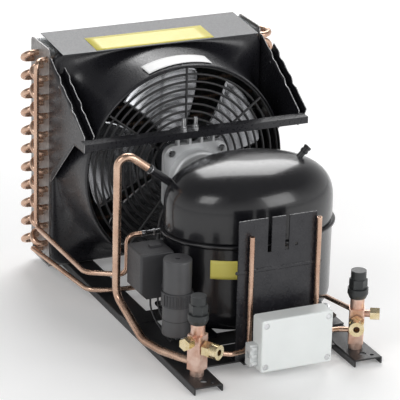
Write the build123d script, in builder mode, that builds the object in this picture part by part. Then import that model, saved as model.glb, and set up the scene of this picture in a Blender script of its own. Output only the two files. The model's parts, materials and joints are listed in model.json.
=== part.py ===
from build123d import *
import os
from math import cos, hypot, pi, radians, sin, tan

# Air-cooled refrigeration condensing unit on two rails.
# +Z is up, -Y is the valve end, +Y is the condenser end, +X is right seen from
# the valve end. The origin is on the floor, midway between the rails and midway
# along them. Every length is in millimetres.

# ---------------------------------------------------------------- driving dimensions
steel_sheet = 2.0            # rails and cross members
thin_sheet = 1.2             # shroud, cheeks, cover and brackets
joint_gap = 0.1              # face clearance between bolted or brazed neighbours
loose_gap = 0.3              # clearance of curved neighbours
running_gap = 0.04           # radial clearance of a shaft in its bore

rail_length = 463.0
rail_gauge = 211.5           # between the rails' centre lines
rail_width = 37.5
rail_height = 9.0
floor_hole_radius = 4.25
floor_hole_inset = 15.0      # from each rail end
wire_hole_radius = 2.5
wire_hole_inset = (9.0, 8.0)     # off the rail's middle and from its front end

core_x = -4.75               # centre of the condenser and fan, off the rails' centre
core_width = 295.0           # over the end plates
tube_pitch = 25.0
tube_count = 11              # in each row
row_pitch = 16.0
row_count = 4
tube_outer = 8.0
tube_bore = 7.0
core_low_tube = 29.5         # height of the lowest tubes
side_reach = 173.3           # from the middle to the outermost pipe on either side
fin_count = 24
fin_sheet = 0.3
end_plate_sheet = 1.5
end_plate_top = 307.0
end_plate_bottom = 24.0

shroud_width = 293.0
shroud_height = 289.0
shroud_bottom = 14.0
shroud_depth = 96.7          # from the condenser to the front lip
skirt_depth = 6.7            # square part of the shroud
shroud_corner = 20.0
fan_axis_height = 164.0
ring_radius = 135.0          # outside of the round lip
cone_radius = 138.0          # of the round throat where it leaves the flat face
lip_depth = 8.0

fan_radius = 125.0
fan_blades = 5
blade_sheet = 1.2
blade_depth = 30.0
hub_radius = 34.0
hub_depth = 26.0
fan_front_gap = 7.0          # from the guard to the blades

guard_wire = 3.2
guard_rings = 10
guard_inner_radius = 44.0

motor_front = 24.0
motor_radius = 37.0
motor_length = 40.0
motor_wall = 2.5
motor_frame_y = 39.5
motor_frame_size = 86.0
motor_frame_sheet = 8.0
motor_shaft_radius = 4.0

cheek_width = 14.0           # channel width of the left arm, folded towards the fan
right_cheek_width = 12.0     # of the right arm, folded away from the fan
cheek_flange = 12.0
bar_face = 9.0               # height of the bar's front leg
bar_leg = 15.5               # depth of the bar's upper leg
bar_overhang = 4.8           # past each side arm
bar_y = 32.5
bar_top = 226.0

compressor_x = 17.75
compressor_y = -69.5
shell_half_length = 109.0
shell_half_width = 77.5
shell_wall = 3.0
seam_height = 140.0
seam_lip = 4.0
seam_thickness = 4.0
shell_top = 223.0
dome_fillet = 52.0
dome_crown = 8.0
bowl_fillet = 30.0
foot_spacing_x = 174.0
foot_spacing_y = 94.0
foot_plate_width = 34.0
foot_plate_length = 124.0
grommet_radius = 10.0
grommet_height = 9.0
foot_bolt_radius = 3.9
cross_member_width = 30.0

stator_radius = 58.0
stator_height = 60.0
stator_bottom = 46.0
rotor_radius = 31.6
air_gap = 0.4
crank_radius = 10.0
crank_throw = 8.0
crank_pin_radius = 7.0
piston_radius = 15.0
piston_length = 20.0
cylinder_height = 166.0
rod_length = 38.0

suction_outer = 10.0
suction_bore = 8.4
line_outer = 6.4
line_bore = 5.0

valve_block = 18.6
valve_height = 76.7          # of the neck's top over the rail
valve_block_height = 53.0    # of the block's shoulder over the rail
valve_foot_height = 8.0      # round foot under the block
valve_foot_radius = 8.4
valve_neck_radius = 8.6
valve_y = -197.0
valve_left_turn = 30.7       # degrees the block is turned about its stem
valve_right_turn = -27.8
front_port_height = 37.0     # of the flare port over the rail
tap_height = 23.0            # of the gauge port over the rail
side_port_heights = {"left": 48.0, "right": 45.5}
line_port_heights = {"left": 15.0, "right": 39.0}
cap_overlap = 10.0           # of the stem cap over the neck
cap_taper = 5.5              # tapered lower edge of the cap's collar
cap_collar_height = 12.5     # with its taper
cap_hex_height = 12.0
cap_height = 35.2
cap_collar_radius = 12.6
cap_hex_radius = 11.2        # across the corners
cap_top_radius = 9.4
spindle_radius = 3.6

plate_x = -48.2              # left edge of the control bracket
plate_width = 102.0
plate_y = -181.5             # its front face
plate_top = 189.0
slot_width = 5.2
slot_depth = 44.0
slot_offsets = (38.0, 61.0)

box_x = -35.5                # left side of the junction box
box_width = 94.0
box_height = 67.0
box_depth = 24.0
box_bottom = 10.5
box_y = -225.5               # face of its lid
lid_depth = 9.0
box_wall = 2.2

starter_x = -136.0           # left side of the starting box
starter_y = -95.5            # its front
starter_bottom = 68.0
starter_length = 44.0        # along X
starter_width = 44.0         # along Y
starter_height = 50.0
cover_height = 8.0
capacitor_x = -100.75
capacitor_y = -124.0
capacitor_radius = 17.5
capacitor_bottom = 31.0
capacitor_height = 98.0

# ---------------------------------------------------------------- derived places
rail_y0 = -rail_length / 2
rail_y1 = rail_length / 2
rail_top = rail_height
web_under = rail_top - steel_sheet
member_top = rail_top + steel_sheet
core_rear = rail_y1
core_depth = row_count * row_pitch
core_front = core_rear - core_depth
core_x0 = core_x - core_width / 2
core_x1 = core_x + core_width / 2
row_y = [core_front + row_pitch * (row + 0.5) for row in range(row_count)]
shroud_y0 = core_front - shroud_depth
shroud_middle = shroud_bottom + shroud_height / 2
skirt_y = core_front - skirt_depth
guard_y = shroud_y0 + guard_wire / 2
fan_front = guard_y + guard_wire / 2 + fan_front_gap
motor_back = motor_front + motor_length
shell_ratio = shell_half_width / shell_half_length
foot_plate_z = member_top + grommet_height
shell_bottom = foot_plate_z + steel_sheet
foot_places = [
    (compressor_x + sx * foot_spacing_x / 2, compressor_y + sy * foot_spacing_y / 2)
    for sx in (-1, 1) for sy in (-1, 1)
]


def row_height(row, index):
    """Height of one condenser tube: every second row is half a pitch lower."""
    lower = 0 if row % 2 else tube_pitch / 2
    return core_low_tube + lower + tube_pitch * index


tube_places = [(row_y[row], row_height(row, i)) for row in range(row_count) for i in range(tube_count)]
os.makedirs("parts", exist_ok=True)


def save(piece, name):
    """Label a finished piece and write it as a STEP file of that name."""
    piece.part.label = name
    export_step(piece.part, f"parts/{name}.step")


def swept_tube(points, bends, outer, bore):
    """Hollow round tube along straight runs joined by tangent bends."""
    with BuildPart() as tube:
        with BuildLine() as route:
            FilletPolyline(*points, radius=bends)
        with BuildSketch(Plane(origin=route.wire() @ 0, z_dir=route.wire() % 0)):
            Circle(outer / 2)
            if bore > 0:
                Circle(bore / 2, mode=Mode.SUBTRACT)
        sweep(path=route.wire())
    return tube


def cylinder_between(start, end, radius, bore=0.0):
    """Straight round bar or sleeve from one point to another."""
    axis = Vector(*end) - Vector(*start)
    with BuildPart() as bar:
        with BuildSketch(Plane(origin=start, z_dir=axis)):
            Circle(radius)
            if bore > 0:
                Circle(bore, mode=Mode.SUBTRACT)
        extrude(amount=axis.length)
    return bar


# ---------------------------------------------------------------- rails and cross members
def rail(middle_x, name):
    """Steel channel, open side down, with a floor hole at each end."""
    with BuildPart() as channel:
        with BuildSketch(Plane.XZ.offset(-rail_y1)):
            with Locations((middle_x, rail_height / 2)):
                Rectangle(rail_width, rail_height)
            with Locations((middle_x, rail_height / 2 - steel_sheet / 2)):
                Rectangle(rail_width - 2 * steel_sheet, rail_height - steel_sheet, mode=Mode.SUBTRACT)
        extrude(amount=rail_length)
        top_edges = channel.edges().filter_by(Axis.Y).group_by(Axis.Z)[-1]
        fillet(top_edges, steel_sheet)
        with BuildSketch(Plane.XY.offset(web_under)):
            for y in (rail_y0 + floor_hole_inset, rail_y1 - floor_hole_inset):
                with Locations((middle_x, y)):
                    Circle(floor_hole_radius)
            with Locations((middle_x + wire_hole_inset[0], rail_y0 + wire_hole_inset[1])):
                Circle(wire_hole_radius)
            with Locations(*foot_places):
                Circle(foot_bolt_radius + joint_gap)
        extrude(amount=steel_sheet, mode=Mode.SUBTRACT)
    save(channel, name)


rail(-rail_gauge / 2, "rail_left")
rail(rail_gauge / 2, "rail_right")

rail_inner = rail_gauge / 2 - rail_width / 2
front_plate_y = -180.3
front_plate_depth = 47.0
front_tab = (-33.0, 16.0, 20.0)      # place along X, width and reach of its tongue
with BuildPart() as cross_members:
    with BuildSketch(Plane.XY.offset(web_under)):
        with Locations((0, front_plate_y + front_plate_depth / 2)):
            Rectangle(2 * (rail_inner - joint_gap), front_plate_depth)
        with Locations((front_tab[0], front_plate_y)):
            Rectangle(front_tab[1], front_tab[2])
    extrude(amount=steel_sheet)
    with BuildSketch(Plane.XY.offset(rail_top)):
        for sign in (-1, 1):
            with Locations((0, compressor_y + sign * foot_spacing_y / 2)):
                Rectangle(rail_gauge + rail_width, cross_member_width)
        with Locations(*foot_places):
            Circle(foot_bolt_radius + joint_gap, mode=Mode.SUBTRACT)
    extrude(amount=steel_sheet)
save(cross_members, "cross_members")

sill_setback = 6.0           # from the front of the condenser
core_sill_y = core_front + sill_setback
bolt_head_room = 4.0         # around each rear floor bolt
with BuildPart() as core_sill:
    with BuildSketch(Plane.XY.offset(rail_top)):
        with Locations((core_x, (core_sill_y + core_rear) / 2)):
            Rectangle(core_width - 2 * end_plate_sheet - 2 * joint_gap, core_rear - core_sill_y)
        for sign in (-1, 1):
            with Locations((sign * rail_gauge / 2, rail_y1 - floor_hole_inset)):
                Circle(floor_hole_radius + bolt_head_room, mode=Mode.SUBTRACT)
    extrude(amount=steel_sheet)
    with BuildSketch(Plane.XY.offset(member_top)):
        for y in (core_sill_y + thin_sheet, core_rear - thin_sheet):
            with Locations((core_x, y)):
                Rectangle(core_width - 2 * end_plate_sheet - 2 * joint_gap, 2 * thin_sheet)
    extrude(amount=end_plate_bottom - member_top - joint_gap)
save(core_sill, "core_sill")

# ---------------------------------------------------------------- condenser
end_plate_corner = 6.0


def end_plate(plane, name):
    """Perforated side plate of the fin block, with rounded top corners."""
    with BuildPart() as plate:
        with BuildSketch(plane) as outline:
            with Locations(((core_front + core_rear) / 2, (end_plate_bottom + end_plate_top) / 2)):
                Rectangle(core_depth, end_plate_top - end_plate_bottom)
            fillet(outline.vertices().group_by(Axis.Y)[-1], end_plate_corner)
            with Locations(*tube_places):
                Circle(tube_outer / 2 + joint_gap, mode=Mode.SUBTRACT)
        extrude(amount=end_plate_sheet)
    save(plate, name)


end_plate(Plane.YZ.offset(core_x0), "end_plate_left")
end_plate(Plane.YZ.offset(core_x1 - end_plate_sheet), "end_plate_right")

tube_stub = 2.0              # tube left proud of each end plate for its bend
with BuildPart() as condenser_tubes:
    with BuildSketch(Plane.YZ.offset(core_x0 - tube_stub)):
        with Locations(*tube_places):
            Circle(tube_outer / 2)
            Circle(tube_bore / 2, mode=Mode.SUBTRACT)
    extrude(amount=core_width + 2 * tube_stub)
save(condenser_tubes, "condenser_tubes")

fin_margin = 3.0             # above and below, short of the end plates
fin_setback = 1.0            # at the front and the rear
fin_pitch = (core_width - 2 * end_plate_sheet) / (fin_count + 1)
fin_x = [core_x0 + end_plate_sheet + fin_pitch * (i + 1) - fin_sheet / 2 for i in range(fin_count)]
with BuildPart() as fin_pack:
    with BuildSketch(*[Plane.YZ.offset(x) for x in fin_x]):
        with Locations(((core_front + core_rear) / 2, (end_plate_bottom + end_plate_top) / 2)):
            Rectangle(core_depth - 2 * fin_setback, end_plate_top - end_plate_bottom - 2 * fin_margin)
        with Locations(*tube_places):
            Circle(tube_outer / 2 + joint_gap / 2, mode=Mode.SUBTRACT)
    extrude(amount=fin_sheet)
save(fin_pack, "fin_pack")


bend_leg = 4.0               # straight part of each return bend


def outward(side, across):
    """Sign of the bend plane's own y axis that points away from the end plate."""
    normal = Vector(*across).cross(Vector(side, 0, 0))
    plane_y = normal.cross(Vector(*across))
    return 1 if plane_y.X * side > 0 else -1


def return_bend(first, second, side):
    """U bend joining two tube ends; first and second are (y, z) of the tubes."""
    span = hypot(second[0] - first[0], second[1] - first[1])
    face_x = core_x0 - tube_stub if side < 0 else core_x1 + tube_stub
    middle = (face_x, (first[0] + second[0]) / 2, (first[1] + second[1]) / 2)
    across = (0, second[0] - first[0], second[1] - first[1])
    normal = Vector(*across).cross(Vector(side, 0, 0))
    sign = outward(side, across)
    leg = bend_leg * sign
    crown = (bend_leg + span / 2) * sign
    with BuildPart() as bend:
        with BuildLine(Plane(origin=middle, x_dir=across, z_dir=normal)) as route:
            Line((-span / 2, 0), (-span / 2, leg))
            ThreePointArc((-span / 2, leg), (0, crown), (span / 2, leg))
            Line((span / 2, leg), (span / 2, 0))
        with BuildSketch(Plane(origin=route.wire() @ 0, z_dir=route.wire() % 0)):
            Circle(tube_outer / 2)
            Circle(tube_bore / 2, mode=Mode.SUBTRACT)
        sweep(path=route.wire())
    return bend


def bend_set(first_row, second_row, second_shift, indices, side):
    """The same return bend at every listed tube of a row."""
    start = indices[0]
    model = return_bend(
        (row_y[first_row], row_height(first_row, start)),
        (row_y[second_row], row_height(second_row, start + second_shift)),
        side,
    )
    with BuildPart() as bends:
        with Locations(*[(0, 0, tube_pitch * (i - start)) for i in indices]):
            add(model.part)
    return bends


every_tube = list(range(tube_count))
outer_bends = bend_set(3, 2, 0, every_tube, -1)
inner_bends = bend_set(1, 0, -1, every_tube[1:], -1)
with BuildPart() as return_bends_left:
    add(outer_bends.part)
    add(inner_bends.part)
save(return_bends_left, "return_bends_left")

front_bends = bend_set(1, 0, 0, every_tube[:-1], 1)
rear_bends = bend_set(3, 2, -1, every_tube[1:], 1)
top_tube = tube_count - 1
crossover = return_bend((row_y[0], row_height(0, top_tube)), (row_y[2], row_height(2, top_tube)), 1)
riser_x = side_reach - tube_outer / 2
riser_bow = 4.0              # how far it leans in between its ends
riser_straight = 40.0
riser = swept_tube(
    [
        (core_x1 + tube_stub, row_y[3], row_height(3, 0)),
        (riser_x, row_y[3], row_height(3, 0)),
        (riser_x, row_y[3] - riser_bow, row_height(3, 0) + riser_straight),
        (riser_x, row_y[1] + riser_bow, row_height(1, top_tube) - riser_straight),
        (riser_x, row_y[1], row_height(1, top_tube)),
        (core_x1 + tube_stub, row_y[1], row_height(1, top_tube)),
    ],
    [12, 20, 20, 12],
    tube_outer,
    tube_bore,
)
with BuildPart() as return_bends_right:
    add(front_bends.part)
    add(rear_bends.part)
    add(crossover.part)
    add(riser.part)
save(return_bends_right, "return_bends_right")

# ---------------------------------------------------------------- shroud, cover and fan guard
def axial_cone(y, radius, far_y, far_radius):
    """Solid frustum about the fan's axis."""
    with BuildPart() as frustum:
        for place, size in ((y, radius), (far_y, far_radius)):
            with BuildSketch(Plane.XZ.offset(-place)):
                with Locations((core_x, fan_axis_height)):
                    Circle(size)
        loft()
    return frustum


cone_start = skirt_y - thin_sheet
lip_start = shroud_y0 + lip_depth
with BuildPart() as fan_shroud:
    with BuildSketch(Plane.XZ.offset(-core_front + joint_gap)):
        with Locations((core_x, shroud_middle)):
            RectangleRounded(shroud_width, shroud_height, shroud_corner)
            RectangleRounded(
                shroud_width - 2 * thin_sheet, shroud_height - 2 * thin_sheet,
                shroud_corner - thin_sheet, mode=Mode.SUBTRACT,
            )
    extrude(amount=skirt_depth - joint_gap)
    with BuildSketch(Plane.XZ.offset(-skirt_y)):
        with Locations((core_x, shroud_middle)):
            RectangleRounded(shroud_width, shroud_height, shroud_corner)
        with Locations((core_x, fan_axis_height)):
            Circle(cone_radius - thin_sheet, mode=Mode.SUBTRACT)
    extrude(amount=thin_sheet)
    add(axial_cone(cone_start, cone_radius, lip_start, ring_radius).part)
    with BuildSketch(Plane.XZ.offset(-lip_start)):
        with Locations((core_x, fan_axis_height)):
            Circle(ring_radius)
    extrude(amount=lip_depth)
    add(axial_cone(skirt_y, cone_radius - thin_sheet, lip_start, ring_radius - thin_sheet).part,
        mode=Mode.SUBTRACT)
    with BuildSketch(Plane.XZ.offset(-lip_start)):
        with Locations((core_x, fan_axis_height)):
            Circle(ring_radius - thin_sheet)
    extrude(amount=lip_depth, mode=Mode.SUBTRACT)
save(fan_shroud, "fan_shroud")

cover_sheet = 1.0
cover_width = 271.5
cover_front = (149.5, 303.3)     # y and z of its lower front edge
cover_rear = (228.5, 309.3)
with BuildPart() as top_cover:
    with BuildSketch(Plane.YZ.offset(core_x - cover_width / 2)):
        Polygon(
            cover_front, cover_rear, (cover_rear[0], cover_rear[1] + cover_sheet),
            (cover_front[0], cover_front[1] + cover_sheet), align=None,
        )
    extrude(amount=cover_width)
save(top_cover, "top_cover")


def circle_rings(radii, width):
    """Concentric rings, drawn from the outside in."""
    for radius in sorted(radii, reverse=True):
        Circle(radius + width / 2)
        Circle(radius - width / 2, mode=Mode.SUBTRACT)


guard_outer_radius = ring_radius - thin_sheet - loose_gap - guard_wire / 2
guard_pitch = (guard_outer_radius - guard_inner_radius) / (guard_rings - 1)
guard_strut_angles = (90, 38, 142, 232, 308)
fan_centre = (core_x, fan_axis_height)
with BuildPart() as fan_guard:
    with BuildSketch(Plane.XZ.offset(-shroud_y0 - guard_wire)):
        with Locations(fan_centre):
            circle_rings([guard_inner_radius + guard_pitch * i for i in range(guard_rings)], guard_wire)
    extrude(amount=guard_wire)
    with BuildSketch(Plane.XZ.offset(-shroud_y0 - 2 * guard_wire)):
        with Locations(fan_centre):
            for angle in guard_strut_angles:
                with Locations(Rotation(0, 0, angle)):
                    with Locations(((guard_outer_radius + guard_inner_radius) / 2, 0)):
                        Rectangle(guard_outer_radius - guard_inner_radius, guard_wire)
    extrude(amount=guard_wire)
save(fan_guard, "fan_guard")

# ---------------------------------------------------------------- side cheeks and motor bar
cheek_top = 297.0
cheek_bottom = 132.0
arm_foot_z = 230.0           # top of the arm where it meets the bar
arm_depth = 20.5             # of the arm there
cheek_knee = (81.5, 209.0)   # y and z where the arm runs into the plate
cheek_rear = core_front - loose_gap - joint_gap
arm_top = (skirt_y, cheek_top)
arm_foot = (bar_y + bar_leg + joint_gap, arm_foot_z)
cheek_outline = [
    (cheek_rear, cheek_top), arm_top, arm_foot, (arm_foot[0], arm_foot_z - arm_depth), cheek_knee,
    (skirt_y, cheek_bottom), (cheek_rear, cheek_bottom),
]
arm_start = 16.0             # the channel starts this far from the shroud's skirt
arm_slope = (Vector(*arm_foot) - Vector(*arm_top)).normalized()
arm_normal = Vector(-arm_slope.Y, arm_slope.X)
arm_begin = Vector(*arm_top) + arm_slope * arm_start


def arm_strip(near, far):
    """Outline of a strip along the arm, between two depths below its open edge."""
    corners = [
        arm_begin + arm_normal * near, Vector(*arm_foot) + arm_normal * near,
        Vector(*arm_foot) + arm_normal * far, arm_begin + arm_normal * far,
    ]
    limit = arm_foot[0]
    return [(max(c.X, limit), c.Y) for c in corners]


def cheek(plate_left, width, name):
    """Side plate of the shroud, folded to the right into a channel along its sloping edge."""
    with BuildPart() as plate:
        with BuildSketch(Plane.YZ.offset(plate_left)):
            Polygon(*cheek_outline, align=None)
        extrude(amount=thin_sheet)
        with BuildSketch(Plane.YZ.offset(plate_left + thin_sheet / 2)):
            Polygon(*arm_strip(cheek_flange - thin_sheet, cheek_flange), align=None)
        extrude(amount=width - thin_sheet / 2)
        with BuildSketch(Plane.YZ.offset(plate_left + width - thin_sheet)):
            Polygon(*arm_strip(0, cheek_flange), align=None)
        extrude(amount=thin_sheet)
    save(plate, name)


cheek_reach = shroud_width / 2 + joint_gap
cheek(core_x - cheek_reach - thin_sheet, cheek_width, "side_cheek_left")
cheek(core_x + cheek_reach, right_cheek_width, "side_cheek_right")

bar_half = cheek_reach + thin_sheet + bar_overhang
bar_bolt_offsets = (-16.0, 0.0)      # from the fan's axis
bar_bolt_y = motor_frame_y + 3.0
bar_bolt_radius = 2.5
screw_gap = 0.1              # radial, round the bolts and screws
with BuildPart() as motor_bar:
    with BuildSketch(Plane.YZ.offset(core_x - bar_half)):
        with Locations((bar_y + thin_sheet / 2, bar_top - bar_face / 2)):
            Rectangle(thin_sheet, bar_face)
        with Locations((bar_y + bar_leg / 2, bar_top - thin_sheet / 2)):
            Rectangle(bar_leg, thin_sheet)
    extrude(amount=2 * bar_half)
    with BuildSketch(Plane.XY.offset(bar_top - thin_sheet)):
        for offset in bar_bolt_offsets:
            with Locations((core_x + offset, bar_bolt_y)):
                Circle(bar_bolt_radius + screw_gap)
    extrude(amount=thin_sheet, mode=Mode.SUBTRACT)
save(motor_bar, "motor_bar")

# ---------------------------------------------------------------- fan motor and fan
pad_top = bar_top - thin_sheet - joint_gap
pad_width = 44.0
pad_thickness = 3.0
pad_shift = -6.0             # of the pad's middle from the fan's axis
frame_corner = 14.0
frame_rib = 3.0
frame_ribs = (-24.0, -8.0, 8.0, 24.0)
frame_top = fan_axis_height + motor_frame_size / 2
rib_root = 1.0               # the ribs start this far inside the frame's edge
frame_screw_inset = 9.0
frame_screw_places = [
    (core_x + sx * (motor_frame_size / 2 - frame_screw_inset),
     fan_axis_height + sz * (motor_frame_size / 2 - frame_screw_inset))
    for sx in (-1, 1) for sz in (-1, 1)
]
with BuildPart() as motor_frame:
    with BuildSketch(Plane.XZ.offset(-motor_frame_y - motor_frame_sheet)):
        with Locations(fan_centre):
            RectangleRounded(motor_frame_size, motor_frame_size, frame_corner)
            Circle(motor_radius + joint_gap, mode=Mode.SUBTRACT)
        with Locations(*frame_screw_places):
            Circle(bar_bolt_radius + screw_gap, mode=Mode.SUBTRACT)
        for offset in frame_ribs:
            with Locations((core_x + offset, (frame_top + pad_top) / 2 - rib_root)):
                Rectangle(frame_rib, pad_top - frame_top)
    extrude(amount=motor_frame_sheet)
    with BuildSketch(Plane.XY.offset(pad_top - pad_thickness)):
        with Locations((core_x + pad_shift, motor_frame_y + motor_frame_sheet / 2)):
            Rectangle(pad_width, motor_frame_sheet)
        for offset in bar_bolt_offsets:
            with Locations((core_x + offset, bar_bolt_y)):
                Circle(bar_bolt_radius + screw_gap, mode=Mode.SUBTRACT)
    extrude(amount=pad_thickness)
save(motor_frame, "motor_frame")

bar_bolt_length = 22.0
bar_nut_radius = 4.2
bar_nut_height = 4.0
screw_head_radius = 4.5
screw_head_height = 3.0
with BuildPart() as motor_screws:
    for offset in bar_bolt_offsets:
        with BuildSketch(Plane.XY.offset(pad_top - 2 * pad_thickness)):
            with Locations((core_x + offset, bar_bolt_y)):
                Circle(bar_bolt_radius)
        extrude(amount=bar_bolt_length)
        with BuildSketch(Plane.XY.offset(bar_top + joint_gap)):
            with Locations((core_x + offset, bar_bolt_y)):
                RegularPolygon(bar_nut_radius, 6)
        extrude(amount=bar_nut_height)
    with BuildSketch(Plane.XZ.offset(-motor_frame_y + joint_gap)):
        with Locations(*frame_screw_places):
            Circle(screw_head_radius)
    extrude(amount=screw_head_height)
    with BuildSketch(Plane.XZ.offset(-motor_frame_y - motor_frame_sheet)):
        with Locations(*frame_screw_places):
            Circle(bar_bolt_radius)
    extrude(amount=motor_frame_sheet + joint_gap)
save(motor_screws, "motor_screws")

motor_edge = 5.0             # rounding of the housing's ends
with BuildPart() as motor_housing:
    with BuildSketch(Plane.XZ.offset(-motor_back)):
        with Locations(fan_centre):
            Circle(motor_radius)
    extrude(amount=motor_length)
    fillet(motor_housing.edges().filter_by(GeomType.CIRCLE), motor_edge)
    with BuildSketch(Plane.XZ.offset(-motor_back + motor_wall)):
        with Locations(fan_centre):
            Circle(motor_radius - motor_wall)
    extrude(amount=motor_length - 2 * motor_wall, mode=Mode.SUBTRACT)
    with BuildSketch(Plane.XZ.offset(-motor_back)):
        with Locations(fan_centre):
            Circle(motor_shaft_radius + running_gap)
    extrude(amount=motor_wall, mode=Mode.SUBTRACT)
save(motor_housing, "motor_housing")

motor_core = 26.0            # length of the motor's iron
motor_core_y = motor_front + motor_wall + motor_edge
motor_bore = 20.0
with BuildPart() as motor_stator:
    with BuildSketch(Plane.XZ.offset(-motor_core_y - motor_core)):
        with Locations(fan_centre):
            Circle(motor_radius - motor_wall - joint_gap)
            Circle(motor_bore, mode=Mode.SUBTRACT)
    extrude(amount=motor_core)
save(motor_stator, "motor_stator")

with BuildPart() as motor_rotor:
    with BuildSketch(Plane.XZ.offset(-motor_core_y - motor_core)):
        with Locations(fan_centre):
            Circle(motor_bore - air_gap)
            Circle(motor_shaft_radius + running_gap / 2, mode=Mode.SUBTRACT)
    extrude(amount=motor_core)
save(motor_rotor, "motor_rotor")

fan_middle = fan_front + blade_depth / 2
shaft_beyond_hub = 4.0
shaft_end_play = 1.0         # before the closed end of the housing
shaft_end = fan_middle + hub_depth / 2 + shaft_beyond_hub
with BuildPart() as fan_shaft:
    with BuildSketch(Plane.XZ.offset(-shaft_end)):
        with Locations(fan_centre):
            Circle(motor_shaft_radius)
    extrude(amount=shaft_end - motor_front - motor_wall - shaft_end_play)
save(fan_shaft, "fan_shaft")

hub_boss = 12.0
hub_flange = 3.0
hub_flange_radius = 23.8
with BuildPart() as fan_hub:
    with BuildSketch(Plane.XZ.offset(-fan_middle - hub_depth / 2)):
        with Locations(fan_centre):
            Circle(hub_boss)
    extrude(amount=hub_depth)
    with BuildSketch(Plane.XZ.offset(-fan_middle - blade_sheet / 2 - joint_gap - hub_flange)):
        with Locations(fan_centre):
            Circle(hub_flange_radius)
    extrude(amount=hub_flange)
    with BuildSketch(Plane.XZ.offset(-fan_middle - hub_depth / 2)):
        with Locations(fan_centre):
            Circle(motor_shaft_radius + running_gap / 2)
    extrude(amount=hub_depth, mode=Mode.SUBTRACT)
save(fan_hub, "fan_hub")

root_chord = 38.0
root_pitch = 42.0
tip_chord = 84.0
tip_pitch = 21.0
blade_root_overlap = 5.0     # of each blade's root over the wheel's plate
blade_trim = 8.0             # cut off each blade's end by the wheel's round outline
first_blade_angle = 36.0
with BuildPart() as fan_wheel:
    with BuildSketch(Plane.XZ.offset(-fan_middle - blade_sheet / 2)):
        with Locations(fan_centre):
            Circle(hub_radius)
    extrude(amount=blade_sheet)
    for blade in range(fan_blades):
        angle = radians(first_blade_angle + 360 / fan_blades * blade)
        radial = Vector(cos(angle), 0, sin(angle))
        tangent = Vector(-sin(angle), 0, cos(angle))
        for reach, chord, pitch in (
            (hub_radius - blade_root_overlap, root_chord, root_pitch),
            (fan_radius + blade_trim, tip_chord, tip_pitch),
        ):
            chord_line = tangent * cos(radians(pitch)) + Vector(0, 1, 0) * sin(radians(pitch))
            place = Vector(core_x, fan_middle, fan_axis_height) + radial * reach
            with BuildSketch(Plane(origin=place, x_dir=chord_line, z_dir=radial)):
                Rectangle(chord, blade_sheet)
        loft()
    with BuildSketch(Plane.XZ.offset(-fan_front - blade_depth - hub_flange)):
        with Locations(fan_centre):
            Circle(fan_radius)
    extrude(amount=blade_depth + 2 * hub_flange, mode=Mode.INTERSECT)
    with BuildSketch(Plane.XZ.offset(-fan_middle - blade_sheet)):
        with Locations(fan_centre):
            Circle(hub_boss + joint_gap)
    extrude(amount=2 * blade_sheet, mode=Mode.SUBTRACT)
save(fan_wheel, "fan_blades")

# ---------------------------------------------------------------- compressor shell
def shell_solid(builder):
    """Squeeze a round shell to its oval width and set it in its place."""
    with BuildPart() as oval:
        add(scale(builder.part, by=(1, shell_ratio, 1), mode=Mode.PRIVATE))
    with BuildPart() as placed:
        with Locations((compressor_x, compressor_y, 0)):
            add(oval.part)
    return placed


def bowl_profile(inset):
    """Half section of the lower shell, this far inside its outer face."""
    radius = shell_half_length - inset
    with BuildSketch(Plane.XZ) as section:
        with BuildLine():
            Polyline((0, shell_bottom + inset), (radius, shell_bottom + inset), (radius, seam_height),
                     (0, seam_height), close=True)
        make_face()
        corner = section.vertices().sort_by(Axis.Y)[:2].sort_by(Axis.X)[-1]
        fillet(corner, bowl_fillet - inset)
    return section


def dome_profile(inset):
    """Half section of the upper shell: a crowned top with a wide round shoulder."""
    radius = shell_half_length - inset
    base = seam_height + joint_gap
    top = shell_top - inset
    with BuildSketch(Plane.XZ) as section:
        with BuildLine():
            Polyline((0, top), (0, base), (radius, base), (radius, top - dome_crown))
            ThreePointArc((radius, top - dome_crown), (radius / 2, top - dome_crown / 4), (0, top))
        make_face()
        corner = section.vertices().sort_by(Axis.X)[-2:].sort_by(Axis.Y)[-1]
        fillet(corner, dome_fillet - inset)
    return section


suction_start = (-106.75, -43.5, 217.0)
suction_inner = (-70.75, -46.5, 189.5)
discharge_start = (-109.25, -33.5, 128.0)
discharge_inner = (-62.0, -33.5, 128.0)
process_base = (70.0, -72.0, 203.5)
process_end = (95.5, -72.0, 228.0)
process_radius = 3.6
process_bore = 2.4
process_cap_radius = 5.4
process_cap_length = 9.0
suction_stub = cylinder_between(suction_start, suction_inner, suction_outer / 2, suction_bore / 2)
discharge_stub = cylinder_between(discharge_start, discharge_inner, line_outer / 2, line_bore / 2)
process_stub = cylinder_between(process_base, process_end, process_radius, process_bore)
process_axis = (Vector(*process_end) - Vector(*process_base)).normalized()
with BuildPart() as process_cap:
    cap_start = Vector(*process_end) - process_axis * process_cap_length
    with BuildSketch(Plane(origin=cap_start, z_dir=process_axis)):
        Circle(process_cap_radius)
        Circle(process_radius + joint_gap / 2, mode=Mode.SUBTRACT)
    extrude(amount=process_cap_length + joint_gap)
    with BuildSketch(Plane(origin=Vector(*process_end) + process_axis * joint_gap, z_dir=process_axis)):
        Circle(process_cap_radius)
    extrude(amount=thin_sheet)
with BuildPart() as shell_stubs:
    for piece in (suction_stub, discharge_stub, process_stub, process_cap):
        add(piece.part)
save(shell_stubs, "shell_stubs")

with BuildPart() as stub_holes:
    add(cylinder_between(suction_start, suction_inner, suction_outer / 2 + joint_gap).part)
    add(cylinder_between(discharge_start, discharge_inner, line_outer / 2 + joint_gap).part)
    add(cylinder_between(process_base, process_end, process_radius + joint_gap).part)

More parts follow.
